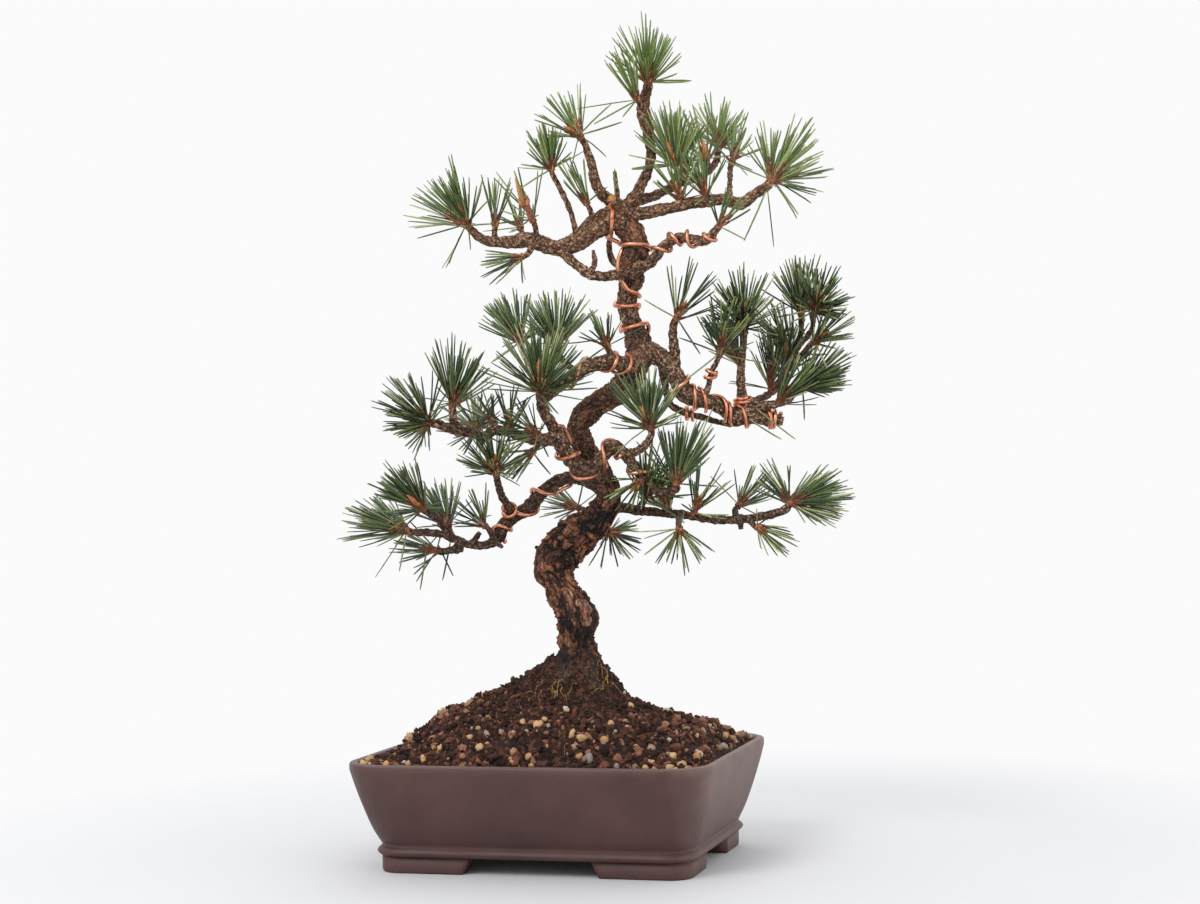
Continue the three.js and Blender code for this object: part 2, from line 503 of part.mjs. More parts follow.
// Soil: up the inside of the pot's wall, then in over the mound to the trunk.
function makeSoil() {
  const sides = HOLLOW.slice(0, -1);
  const wallRings = sides.length;
  const rings = wallRings + SOIL_RINGS.length;
  let soil = shaped(4 * (CORNER_STEPS + 1), rings - 1, (along, turn, out) => {
    const ring = Math.round(along * (rings - 1));
    const [z, halfLength, halfWidth, corner] = sides[Math.min(ring, wallRings - 1)];
    const inset = SEAT_GAP;
    const edge = roundedPoint(turn, halfLength - inset, halfWidth - inset, corner - inset);
    if (ring < wallRings) {
      return new THREE.Vector3(edge.x * out, edge.y * out, ring === 0 ? z + SEAT_GAP : z);
    }
    const share = SOIL_RINGS[ring - wallRings] * out;
    const centre = new THREE.Vector2(footCentre.x, footCentre.y);
    const ray = edge.clone().sub(centre);
    const place = centre.addScaledVector(ray, share);
    const bumps = SOIL_RELIEF * lumps(place.x / 6, place.y / 6) * (share < 1 ? 1 : 0.4);
    return new THREE.Vector3(place.x, place.y, soilHeight(share, ray.length(), ray.angle()) + bumps);
  });
  soil = soil.subtract(
    post(FOOT.radius + SEAT_GAP, FOOT.low, 160, footCentre.x, footCentre.y, 16),
  );
  for (const side of [-1, 1]) {
    const room = DRAIN.mesh + 2 * SEAT_GAP;
    const ceiling = FLOOR + DRAIN.thick + 2 * SEAT_GAP;
    soil = soil.subtract(block(room, room, 2 * (ceiling - FLOOR), [side * DRAIN.x, 0, FLOOR]));
    const hole = ANCHOR.wire + 2 * SEAT_GAP;
    soil = soil.subtract(post(hole, FLOOR - 1, ANCHOR.top + 1, side * ANCHOR.x, ANCHOR.y, 8));
  }
  return soil;
}

// What a needle or wire has to stay clear of: straight stretches with a radius and an owner.
const stretches = [];

function addStretch(from, to, radius, owner) {
  stretches.push({ from, to, radius, owner });
}

// The nearest points of two straight stretches, with the share at which the first one has it.
function nearestPair(a, b, c, d) {
  const first = b.clone().sub(a);
  const second = d.clone().sub(c);
  const between = a.clone().sub(c);
  const firstLong = first.dot(first);
  const secondLong = second.dot(second);
  const mixed = first.dot(second);
  const onFirst = first.dot(between);
  const onSecond = second.dot(between);
  const apart = firstLong * secondLong - mixed * mixed;
  let s = apart > 1e-9 ? THREE.MathUtils.clamp((mixed * onSecond - onFirst * secondLong) / apart, 0, 1) : 0;
  let t = (mixed * s + onSecond) / secondLong;
  if (t < 0 || t > 1) {
    t = THREE.MathUtils.clamp(t, 0, 1);
    s = THREE.MathUtils.clamp((mixed * t - onFirst) / firstLong, 0, 1);
  }
  return [a.clone().addScaledVector(first, s), c.clone().addScaledVector(second, t), s];
}

function distanceBetween(a, b, c, d) {
  const [near, other] = nearestPair(a, b, c, d);
  return near.distanceTo(other);
}

// Needles of one spray start close together and beside their limb, so there only their parts past
// inner are tested.
function isClear(from, inner, to, owner) {
  return stretches.every((other) => {
    const own = other.owner === owner;
    if (own && !other.inner) return true;
    const start = own || other.owner === "tree" ? inner : from;
    const gap = distanceBetween(start, to, own ? other.inner : other.from, other.to);
    return gap > NEEDLE.root + other.radius + NEEDLE_GAP - (own ? NEEDLE.root : 0);
  });
}

// Limbs that have grown so far, as smooth curves with a radius at each share of their length.
const grown = new Map();

function makeLimb(points) {
  const curve = new THREE.CatmullRomCurve3(points.map(spot), false, "centripetal");
  curve.arcLengthDivisions = 400;
  const radiusAt = (share) => {
    const place = curve.getUtoTmapping(share) * (points.length - 1);
    const index = Math.min(Math.floor(place), points.length - 2);
    return THREE.MathUtils.lerp(points[index][3], points[index + 1][3], place - index);
  };
  return { curve, radiusAt, radii: points.map((point) => point[3]) };
}

// The nearest point on the axis of a limb that has grown already, as u, w, y of no depth change.
function nearestOnTree(place) {
  let best = null;
  for (const { curve } of grown.values()) {
    for (const point of curve.getSpacedPoints(120)) {
      if (!best || point.distanceTo(place) < best.distanceTo(place)) best = point;
    }
  }
  return best;
}

// A closed skin round a limb, with bark swellings, and its stretches for the clearance rule.
function limbSkin({ curve, radiusAt }, sides, step, relief) {
  const steps = Math.max(1, Math.round(curve.getLength() / step));
  const { normals, binormals } = curve.computeFrenetFrames(steps, false);
  const middles = curve.getSpacedPoints(steps);
  for (let i = 0; i < steps; i += 1) {
    const radius = Math.max(radiusAt(i / steps), radiusAt((i + 1) / steps)) * (1 + relief / 2);
    addStretch(middles[i], middles[i + 1], radius, "tree");
  }
  return shaped(sides, steps, (along, turn, out) => {
    const ring = Math.round(along * steps);
    const angle = turn * 2 * Math.PI;
    const bark = 1 + relief * lumps(angle * 2, ring * 0.9) * (ring > 0 ? 1 : 0);
    const radius = radiusAt(ring / steps) * bark * out;
    return middles[ring]
      .clone()
      .addScaledVector(normals[ring], radius * Math.cos(angle))
      .addScaledVector(binormals[ring], radius * Math.sin(angle));
  });
}

// A limb whose first point is moved onto the limb that carries it. Where a spray begins at its last
// point, it goes on as a short collar that points the way the shoots leave.
function grow(points) {
  const last = points[points.length - 1];
  const spray = SPRAYS.find(([, [twig]]) => twig.length === 1 && twig[0].every((v, i) => v === last[i]));
  const limb = makeLimb(spray ? [...points, last] : points);
  if (spray) limb.curve.points[points.length].addScaledVector(wayOut(spray.slice(1)), COLLAR);
  if (grown.size) limb.curve.points[0] = nearestOnTree(limb.curve.points[0]);
  limb.curve.updateArcLengths();
  return limb;
}

// The direction in which a spray leaves the tree: the mean of its shoots.
function wayOut(shoots) {
  const way = new THREE.Vector3();
  for (const [twig, bud] of shoots) {
    way.add(spot(bud).sub(spot(twig[twig.length - 1])).normalize());
  }
  return way.normalize();
}

// A side twig to where its shoots begin, ended by the same collar.
function growTwig(shoots) {
  const [points] = shoots[0];
  const last = points[points.length - 1];
  const radii = points.map((_, i) => TWIG.radius * (i === 0 ? TWIG.swell : 1));
  const twig = makeLimb([...points, last].map((point, i) => [...point, radii[i] ?? TWIG.radius]));
  twig.curve.points[points.length].addScaledVector(wayOut(shoots), COLLAR);
  twig.curve.points[0] = nearestOnTree(twig.curve.points[0]);
  twig.curve.updateArcLengths();
  return twig;
}

function makeTree() {
  const skins = [];
  for (const [name, sides, step, relief, points] of LIMBS) {
    const limb = grow(points);
    grown.set(name, limb);
    skins.push(limbSkin(limb, sides, step, relief));
  }
  for (const [from, to, radius, end] of STUBS) {
    skins.push(limbSkin(grow([[...from, radius], [...to, end]]), TWIG.sides, TWIG.step, 0));
  }
  for (const [, ...shoots] of SPRAYS) {
    if (shoots[0][0].length > 1) skins.push(limbSkin(growTwig(shoots), TWIG.sides, TWIG.step, 0));
  }
  skins.push(post(FOOT.radius, FOOT.low + SEAT_GAP, FOOT.high, footCentre.x, footCentre.y, 16));
  return united(skins);
}

// The corners and faces of a bare shoot: rings of corners up to the point of its bud.
function bareShoot(base, axis, reach, side) {
  const { sides, radii, shares } = SHOOT;
  const corners = [];
  radii.forEach((radius, ring) => {
    for (let i = 0; i < sides; i += 1) {
      const arm = side.clone().applyAxisAngle(axis, ((i + ring / 2) * 2 * Math.PI) / sides);
      corners.push(base.clone().addScaledVector(axis, reach * shares[ring]).addScaledVector(arm, radius));
    }
  });
  corners.push(base.clone().addScaledVector(axis, reach));
  const faces = [];
  const ends = [];
  for (let i = 1; i + 1 < sides; i += 1) ends.push([0, i + 1, i]);
  for (let i = 0; i < sides; i += 1) {
    const next = (i + 1) % sides;
    for (let low = 0; low + sides < radii.length * sides; low += sides) {
      faces.push([low + i, low + next, low + sides + i]);
      faces.push([low + next, low + sides + next, low + sides + i]);
    }
    const top = (radii.length - 1) * sides;
    ends.push([top + i, top + next, corners.length - 1]);
  }
  return { corners, faces, ends };
}

// A shoot as one closed skin: faces spread evenly over it are each drawn out into a needle.
function makeShoot([, bud, count, long, spread], base, owner, draw) {
  const axis = spot(bud).sub(base);
  const reach = axis.length();
  axis.normalize();
  const side = new THREE.Vector3(0.3, 1, 0.2).cross(axis).normalize();
  const { corners, faces, ends } = bareShoot(base, axis, reach, side);
  faces.sort((a, b) => a[0] + a[1] + a[2] - (b[0] + b[1] + b[2]));
  const skin = [...ends];
  faces.forEach((face, i) => {
    const wanted = Math.floor(((i + 1) * count) / faces.length) > Math.floor((i * count) / faces.length);
    const [a, b, c] = face.map((index) => corners[index]);
    const root = a.clone().add(b).add(c).divideScalar(3);
    const share = (i + 0.5) / faces.length;
    const end = wanted && needleEnd(root, base, axis, spread * (1 - FORWARD * share), long, owner, draw);
    if (!end) {
      skin.push(face);
      return;
    }
    const first = corners.length;
    for (const corner of [a, b, c]) corners.push(corner.clone().lerp(root, NEEDLE.inset));
    corners.push(end);
    for (let k = 0; k < 3; k += 1) {
      const next = (k + 1) % 3;
      skin.push([face[k], face[next], first + next], [face[k], first + next, first + k]);
      skin.push([first + k, first + next, first + 3]);
    }
  });
  const geometry = new THREE.BufferGeometry();
  const flat = corners.flatMap((corner) => corner.toArray());
  geometry.setAttribute("position", new THREE.BufferAttribute(new Float32Array(flat), 3));
  geometry.setIndex(skin.flat());
  return solid(geometry);
}

// Where a needle ends: the first of some tries at which it clears all others, or null.
function needleEnd(root, base, axis, tilt, long, owner, draw) {
  const out = root.clone().sub(base);
  out.addScaledVector(axis, -out.dot(axis)).normalize();
  const length = long * (0.9 + 0.16 * draw());
  for (let attempt = 0; attempt < TRIES; attempt += 1) {
    const swing = THREE.MathUtils.degToRad((draw() - 0.5) * (10 + 4 * attempt));
    const lean = THREE.MathUtils.clamp(tilt * (0.88 + 0.24 * draw()) + (draw() - 0.5) * 2 * attempt, 12, 80);
    const angle = THREE.MathUtils.degToRad(lean);
    const way = axis.clone().multiplyScalar(Math.cos(angle));
    way.addScaledVector(out.clone().applyAxisAngle(axis, swing), Math.sin(angle));
    const kept = length * (attempt < TRIES * 0.7 ? 1 : 0.7);
    const end = root.clone().addScaledVector(way, kept);
    const inner = root.clone().addScaledVector(way, NEEDLE.free);
    if (isClear(root, inner, end, owner)) {
      stretches.push({ from: root, to: end, radius: NEEDLE.root, owner, inner });
      return end;
    }
  }
  return null;
}

// A straight rod.
function rod(root, end, radius, sides) {
  return extruded(new THREE.LineCurve3(root, end), radius, sides, 1);
}

function makeSpray(name, shoots, seed) {
  const draw = random(seed);
  const pieces = [];
  const [twig] = shoots[0];
  const way = wayOut(shoots);
  const base = spot(twig[twig.length - 1]).addScaledVector(way, COLLAR + SEAT_GAP);
  if (shoots.length > 1) {
    const stem = base.clone().addScaledVector(way, 2 * FORK_STEM);
    pieces.push(rod(base, stem, SHOOT.radii[0], SHOOT.sides));
    base.addScaledVector(way, FORK_STEM);
  }
  for (const shoot of shoots) pieces.push(makeShoot(shoot, base, name, draw));
  return united(pieces);
}

// The points of a wire's turns round one limb, lifted off its skin.
function turnsRound([name, ...keys]) {
  const { curve, radii } = grown.get(name);
  const front = new THREE.Vector3(0, -1, 0).applyAxisAngle(new THREE.Vector3(0, 0, 1), FRONT_TURN);
  return keys.slice(1).flatMap(([endPlace, endTurns], k) => {
    const [startPlace, startTurns] = keys[k];
    const steps = Math.ceil(Math.abs(endTurns - startTurns) * WIRE.stepsPerTurn);
    return Array.from({ length: steps + (k === 0 ? 1 : 0) }, (_, i) => {
      const share = (k === 0 ? i : i + 1) / steps;
      const place = THREE.MathUtils.lerp(startPlace, endPlace, share);
      const angle = 2 * Math.PI * THREE.MathUtils.lerp(startTurns, endTurns, share);
      const index = Math.min(Math.floor(place), radii.length - 2);
      const radius = THREE.MathUtils.lerp(radii[index], radii[index + 1], place - index);
      const lift = radius + WIRE.radius + SEAT_GAP;
      const along = curve.getTangent(place / (curve.points.length - 1));
      const right = along.clone().cross(front).normalize();
      const out = right.clone().cross(along).normalize();
      return curve
        .getPoint(place / (curve.points.length - 1))
        .addScaledVector(out, lift * Math.cos(angle))
        .addScaledVector(right, lift * Math.sin(angle));
    });
  });
}

// Pushes the points of a wire out until each of its stretches clears all others.
function pushedClear(points, owner) {
  const box = new THREE.Box3().setFromPoints(points).expandByScalar(12);
  const close = stretches.filter(({ from, to }) => box.containsPoint(from) || box.containsPoint(to));
  for (let round = 0; round < WIRE.rounds; round += 1) {
    for (let i = 0; i + 1 < points.length; i += 1) {
      for (const { from, to, radius } of close) {
        const [near, other, share] = nearestPair(points[i], points[i + 1], from, to);
        const away = near.clone().sub(other);
        const short = radius + WIRE.radius + SEAT_GAP + WIRE.spare - away.length();
        if (short > 0) {
          away.normalize();
          points[i].addScaledVector(away, short * (1 - share));
          points[i + 1].addScaledVector(away, short * share);
        }
      }
    }
  }
  points.slice(1).forEach((point, i) => addStretch(points[i], point, WIRE.radius + 0.2, owner));
  return points;
}

function makeWire(name, ...runs) {
  const points = pushedClear(runs.flatMap(turnsRound), name);
  const path = new THREE.CatmullRomCurve3(points, false, "centripetal");
  return extruded(path, WIRE.radius, WIRE.sides, points.length - 1);
}

addMesh("pot", makePot(), CLAY);
addMesh("soil", makeSoil(), PEAT);
addMesh("drain_mesh_left", makeDrainMesh(-1), MESH);
addMesh("drain_mesh_right", makeDrainMesh(1), MESH);
addMesh("anchor_wire", makeAnchorWire(), STEEL);
addMesh("tree", makeTree(), BARK);
for (const [name, ...runs] of WIRES) {
  addMesh(`wire_${name}`, makeWire(name, ...runs), COPPER);
}
// A spray's own cores are stretches too, so that no needle of another spray crosses them.
for (const [name, ...shoots] of SPRAYS) {
  for (const [twig, bud] of shoots) {
    const tip = spot(bud);
    addStretch(spot(twig[twig.length - 1]), tip, SHOOT.radii[0], name);
  }
}
SPRAYS.forEach(([name, ...shoots], i) => {
  addMesh(`spray_${name}`, makeSpray(name, shoots, 1000 + i), NEEDLES);
});

// The origin is the middle of the whole plant's footprint, on the surface it stands on.
const box = new THREE.Box3().setFromObject(group);
const middle = box.getCenter(new THREE.Vector3());
group.position.set(-middle.x, -middle.y, -box.min.z);

export default group;
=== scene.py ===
import math

import bpy
import numpy as np
from mathutils import Euler, Matrix, Vector


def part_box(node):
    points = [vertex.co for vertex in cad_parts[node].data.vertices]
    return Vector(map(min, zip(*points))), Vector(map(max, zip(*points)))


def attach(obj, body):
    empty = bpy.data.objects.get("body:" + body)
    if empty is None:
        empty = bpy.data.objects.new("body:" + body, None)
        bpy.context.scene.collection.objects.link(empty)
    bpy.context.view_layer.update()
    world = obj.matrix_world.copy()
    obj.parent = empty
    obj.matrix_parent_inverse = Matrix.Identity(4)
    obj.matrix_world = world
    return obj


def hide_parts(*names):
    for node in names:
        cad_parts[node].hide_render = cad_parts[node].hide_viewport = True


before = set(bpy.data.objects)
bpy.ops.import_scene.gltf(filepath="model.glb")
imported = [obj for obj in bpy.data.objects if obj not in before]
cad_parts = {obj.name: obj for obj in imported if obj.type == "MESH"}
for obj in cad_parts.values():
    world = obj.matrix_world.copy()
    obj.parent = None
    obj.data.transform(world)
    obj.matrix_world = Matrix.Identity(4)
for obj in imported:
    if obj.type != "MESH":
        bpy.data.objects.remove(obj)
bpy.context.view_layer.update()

# Pot: one thick-walled tray of brown clay, pressed in a mould and fired without a glaze. Its wall
# swells outwards above a half-round belt, it stands on four corner feet, and its floor has two
# drainage holes and two small holes for the wire that anchors the tree.
MM = 0.001
pot_low, pot_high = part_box("pot")
POT_PLACE = np.array([(pot_low.x + pot_high.x) / 2, (pot_low.y + pot_high.y) / 2, 0.0]) / MM

# Levels of the pot are height, half length, half width and corner radius, in mm.
BELT = [
    [11, 105.5, 75, 17], [11.7, 108.4, 78.2, 19], [14, 110, 80, 20], [16.3, 108.6, 78.8, 19.6],
    [17.6, 107, 77.4, 20],
]
WALL = [
    [17.6, 107, 77.4, 20], [29, 112, 85.5, 24], [42, 116.5, 91, 27], [57, 121, 95.8, 29],
    [69, 124, 99, 30],
]
RIM = [[69, 124, 99, 30], [72.6, 124, 99, 30], [73.6, 123.4, 98.4, 29.6], [74, 122.2, 97.2, 28.8]]
HOLLOW = [
    [74, 120, 95, 26], [73.4, 118.8, 93.8, 25], [69, 117, 92, 24], [57, 114, 88.8, 23],
    [42, 109.5, 84, 21], [29, 105, 78.5, 18], [20, 100.5, 72, 15.5], [17, 97, 68, 13],
]
FOOT_RING = {"length": 213, "width": 151, "corner": 14, "top": 12.4}
FOOT_SECTION = [
    [0, 12.4], [0, 1.6], [0.5, 0.5], [1.6, 0], [13, 0], [14.5, 0.5], [15, 2], [15, 12.4],
]
FRONT_GAP = {"bottom": 94, "top": 82}
SIDE_GAP = {"bottom": 60, "top": 55}
DRAIN_HOLES = {"x": 48, "radius": 8}
ANCHOR_HOLES = {"x": 12, "y": -34, "radius": 2.4}
DRILLED = (5, 24)
HOLE_SIDES = 32
FOOT_STEPS = 37
POT_SAMPLES = {"belt": 4, "wall": 5, "hollow": 3}

# Lime dust with a painted reflection lies on the pot's right, from one x to another, and its rim is
# worn and carries a painted highlight between two heights, all in metres.
DUST_AND_REFLECTION_X = (0.075, 0.1)
RIM_WEAR_AND_HIGHLIGHT = (0.0725, 0.0739)
NOISE_SPAN = (0.3, 0.7)


def smooth_curve(points, samples=24):
    """A centripetal Catmull-Rom curve through points of any dimension.

    Between two points it is a cubic whose end slopes come from the neighbours, spaced by the
    square root of the distances. Gives the places, and each one's share of the points' numbering.
    """
    given = np.asarray(points, float)
    given = np.vstack([2 * given[0] - given[1], given, 2 * given[-1] - given[-2]])
    step = np.sqrt(np.linalg.norm(np.diff(given, axis=0), axis=1))[:, None]
    before, here, after = step[:-2], step[1:-1], step[2:]
    a, b, c, d = given[:-3], given[1:-2], given[2:-1], given[3:]
    slope_b = here * ((b - a) / before - (c - a) / (before + here) + (c - b) / here)
    slope_c = here * ((c - b) / here - (d - b) / (here + after) + (d - c) / after)
    t = (np.arange(samples) / samples)[None, :, None]
    b, c, slope_b, slope_c = b[:, None], c[:, None], slope_b[:, None], slope_c[:, None]
    places = (
        b * (2 * t**3 - 3 * t**2 + 1)
        + c * (3 * t**2 - 2 * t**3)
        + slope_b * (t**3 - 2 * t**2 + t)
        + slope_c * (t**3 - t**2)
    )
    places = np.vstack([places.reshape(-1, given.shape[1]), given[-2]])
    return places, np.arange(len(places)) / samples


def rounded_ring(half_length, half_width, corner, per_corner=12, per_side=12):
    """Round a rectangle with round corners, anticlockwise: four arcs joined by straight sides."""
    bend = np.linspace(0, math.pi / 2, per_corner)
    run = np.linspace(0, 1, per_side + 2)[1:-1, None]
    arcs = []
    for quarter, (sign_x, sign_y) in enumerate([(1, 1), (-1, 1), (-1, -1), (1, -1)]):
        angle = bend + quarter * math.pi / 2
        middle = np.array([sign_x * (half_length - corner), sign_y * (half_width - corner)])
        arcs.append(middle + corner * np.stack([np.cos(angle), np.sin(angle)], axis=1))
    ring = []
    for quarter, arc in enumerate(arcs):
        start, end = arc[-1], arcs[(quarter + 1) % 4][0]
        ring += [arc, start + (end - start) * run]
    return np.vstack(ring)


def stacked(levels):
    """Rings of points at the levels: ring i is the rounded rectangle of level i at its height."""
    rings = [
        np.column_stack([ring, np.full(len(ring), height)])
        for height, *sizes in levels
        for ring in [rounded_ring(*sizes)]
    ]
    return np.array(rings)


def grid_faces(rows, columns):
    """Four-cornered faces of a grid whose last column is joined to its first. They look outwards
    where the columns run anticlockwise seen from the last row."""
    row = np.arange(rows - 1)[:, None] * columns
    column = np.arange(columns)[None, :]
    following = (column + 1) % columns
    corners = [row + column, row + following, row + columns + following, row + columns + column]
    return np.stack(corners, axis=-1).reshape(-1, 4)


def tube_faces(rows, columns):
    """Faces of a closed skin: its grid, then fans that join its first row and its last to two
    more points that follow the grid's own."""
    here = np.arange(columns)
    following = (here + 1) % columns
    top, low_end = (rows - 1) * columns, rows * columns
    low_fan = np.stack([following, here, np.full(columns, low_end)], axis=1)
    high_fan = np.stack([top + here, top + following, np.full(columns, low_end + 1)], axis=1)
    return [grid_faces(rows, columns), low_fan, high_fan]


def closed_tube(rings):
    """Points and faces of a skin through rings, with a middle point closing each end."""
    points = np.vstack([rings.reshape(-1, 3), rings[0].mean(0), rings[-1].mean(0)])
    return points, tube_faces(*rings.shape[:2])


def add_piece(name, parts, replaced=(), smooth=True):
    """One mesh object from parts in mm, in the pot's own frame: each part is its points, a list of
    face arrays, a material, and the named values that its points carry."""
    materials = list(dict.fromkeys(part[2] for part in parts))
    starts = np.cumsum([0] + [len(part[0]) for part in parts])
    places = (np.vstack([part[0] for part in parts]) + POT_PLACE) * MM
    corners, sizes, finishes = [], [], []
    for (_, faces, material, _), start in zip(parts, starts):
        for face_array in faces:
            corners.append((face_array + start).ravel())
            sizes.append(np.full(len(face_array), face_array.shape[1]))
            finishes.append(np.full(len(face_array), materials.index(material)))
    corners, sizes = np.concatenate(corners), np.concatenate(sizes)
    mesh = bpy.data.meshes.new(name)
    mesh.vertices.add(len(places))
    mesh.vertices.foreach_set("co", places.astype(np.float32).ravel())
    mesh.loops.add(len(corners))
    mesh.loops.foreach_set("vertex_index", corners.astype(np.int32))
    mesh.polygons.add(len(sizes))
    mesh.polygons.foreach_set("loop_start", (np.cumsum(sizes) - sizes).astype(np.int32))
    mesh.polygons.foreach_set("material_index", np.concatenate(finishes).astype(np.int32))
    mesh.polygons.foreach_set("use_smooth", np.full(len(sizes), smooth))
    mesh.update(calc_edges=True)
    for key in sorted({key for part in parts for key in part[3]}):
        rows = [part[3].get(key, np.zeros(len(part[0]))) for part in parts]
        wide = max(np.ndim(values) for values in rows) == 2
        if wide:
            rows = [r if np.ndim(r) == 2 else np.zeros((len(r), 3)) for r in rows]
        kind, field = ("FLOAT_VECTOR", "vector") if wide else ("FLOAT", "value")
        layer = mesh.attributes.new(key, kind, "POINT")
        layer.data.foreach_set(field, np.concatenate(rows).astype(np.float32).ravel())
    for material in materials:
        mesh.materials.append(material)
    piece = bpy.data.objects.new(name, mesh)
    bpy.context.scene.collection.objects.link(piece)
    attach(piece, "root")
    if replaced:
        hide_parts(*replaced)
    return piece


def paint(red, green, blue):
    """The linear colour that a screen shows as these values from 0 to 255."""
    shown = np.array([red, green, blue]) / 255
    light = np.where(shown <= 0.04045, shown / 12.92, ((shown + 0.055) / 1.055) ** 2.4)
    return (*light.tolist(), 1.0)


def put(kind, sockets, **settings):
    """A shader node with its settings, and its sockets set to values or linked to outputs. It
    stands in the node tree of those outputs, so one of them at least has to be linked."""
    linked = {key: value for key, value in sockets.items() if isinstance(value, bpy.types.NodeSocket)}
    tree = next(iter(linked.values())).id_data
    made = tree.nodes.new(kind)
    for key, value in settings.items():
        setattr(made, key, value)
    for key, value in sockets.items():
        if key in linked:
            tree.links.new(value, made.inputs[key])
        else:
            made.inputs[key].default_value = value
    return made


def new_material(name, **sockets):
    """A material whose shader's own sockets have these values, named with _ for a space."""
    material = bpy.data.materials.new(name)
    material.use_nodes = True
    shader = material.node_tree.nodes["Principled BSDF"]
    for key, value in sockets.items():
        shader.inputs[key.replace("_", " ")].default_value = value
    return material


def coat(material, **sockets):
    """Links outputs to the shader's sockets, named with _ for a space."""
    shader = material.node_tree.nodes["Principled BSDF"]
    for key, value in sockets.items():
        material.node_tree.links.new(value, shader.inputs[key.replace("_", " ")])


def object_place(material):
    """The point's place in the object, in metres."""
    return material.node_tree.nodes.new("ShaderNodeTexCoord").outputs["Object"]


def noise(place, size, detail=4.0, rough=0.55):
    """Soft noise from 0 to 1 with lumps of a size in the place's own unit."""
    sockets = {"Vector": place, "Scale": 1 / size, "Detail": detail, "Roughness": rough}
    return put("ShaderNodeTexNoise", sockets).outputs["Fac"]


def cells(place, size, field="Distance"):
    """Cells of a size: the distance from each one's middle, or its own random colour."""
    sockets = {"Vector": place, "Scale": 1 / size}
    return put("ShaderNodeTexVoronoi", sockets).outputs[field]


def between(value, low, high, to_low=0.0, to_high=1.0):
    """The value stretched from one range to another, and held within it."""
    sockets = {0: value, 1: low, 2: high, 3: to_low, 4: to_high}
    return put("ShaderNodeMapRange", sockets).outputs[0]


def worked(operation, first, second):
    """Two values added, multiplied and so on."""
    return put("ShaderNodeMath", {0: first, 1: second}, operation=operation).outputs[0]


def mixed(share, first, second):
    """The colour at a share of the way between two, each an output or a screen's values."""
    first, second = (paint(*tint) if isinstance(tint, tuple) else tint for tint in (first, second))
    sockets = {0: share, 6: first, 7: second}
    return put("ShaderNodeMix", sockets, data_type="RGBA").outputs[2]


def tinted(colour, value, span, shares, tint):
    """The colour with a tint laid over it, whose share goes from the first to the second of the
    shares while the value crosses the span."""
    return mixed(between(value, *span, *shares), colour, tint)


def ramp(value, *stops):
    """The colour at a value among stops, each a place from 0 to 1 and its colour."""
    made = put("ShaderNodeValToRGB", {"Fac": value})
    elements = made.color_ramp.elements
    while len(elements) < len(stops):
        elements.new(1.0)
    for element, (place, colour) in zip(elements, stops):
        element.position = place
        element.color = paint(*colour)
    return made.outputs["Color"]


def raised(height, depth, strength=1.0, over=None):
    """A bumped surface direction: a height from 0 to 1 stands for a depth in metres."""
    sockets = {"Height": height, "Distance": depth, "Strength": strength}
    if over is not None:
        sockets["Normal"] = over
    return put("ShaderNodeBump", sockets).outputs["Normal"]


def foot_path(share, inset, height):
    """Along one corner foot: a straight run, the corner's arc and a straight run take a third of
    the share each. The gaps between feet widen downwards, so both ends slant."""
    down = 1 - height / FOOT_RING["top"]
    front = (FRONT_GAP["top"] + (FRONT_GAP["bottom"] - FRONT_GAP["top"]) * down) / 2
    side = (SIDE_GAP["top"] + (SIDE_GAP["bottom"] - SIDE_GAP["top"]) * down) / 2
    half_length = FOOT_RING["length"] / 2 - inset
    half_width = FOOT_RING["width"] / 2 - inset
    corner = FOOT_RING["corner"] - inset / 2
    rising = np.clip(share * 3, 0, 1)
    turned = np.clip(share * 3 - 1, 0, 1) * math.pi / 2
    leaving = np.clip(share * 3 - 2, 0, 1)
    x = half_length - corner + corner * np.cos(turned)
    y = half_width - corner + corner * np.sin(turned)
    x = x + (front - (half_length - corner)) * leaving
    y = y + (side - (half_width - corner)) * (1 - rising)
    return np.stack([x, y, np.broadcast_to(height, x.shape)], axis=-1)


def foot(sign_x, sign_y):
    """One foot: its rounded section carried round the corner, and mirrored into its quarter."""
    share = np.linspace(0, 1, FOOT_STEPS)
    rings = np.stack([foot_path(share, inset, height) for inset, height in FOOT_SECTION], axis=1)
    if sign_x * sign_y > 0:
        rings = rings[::-1]
    return closed_tube(rings * np.array([sign_x, sign_y, 1]))


clay = new_material("unglazed_brown_clay", Specular_IOR_Level=0.35)
place = object_place(clay)
firing = noise(place, 0.05, 3.0)
grain = noise(place, 0.0009, 3.0, 0.7)
speck = cells(place, 0.0031)
smear = noise(place, 0.03, 7.0, 0.6)
sides = put("ShaderNodeSeparateXYZ", {0: place}).outputs
# Painted reflection and lime dust: the pot's right side is mixed towards a pale grey.
dust_and_reflection = between(sides["X"], *DUST_AND_REFLECTION_X)
dust_and_reflection = worked("MULTIPLY", dust_and_reflection, between(smear, 0.4, 0.66, 0.35, 1.0))
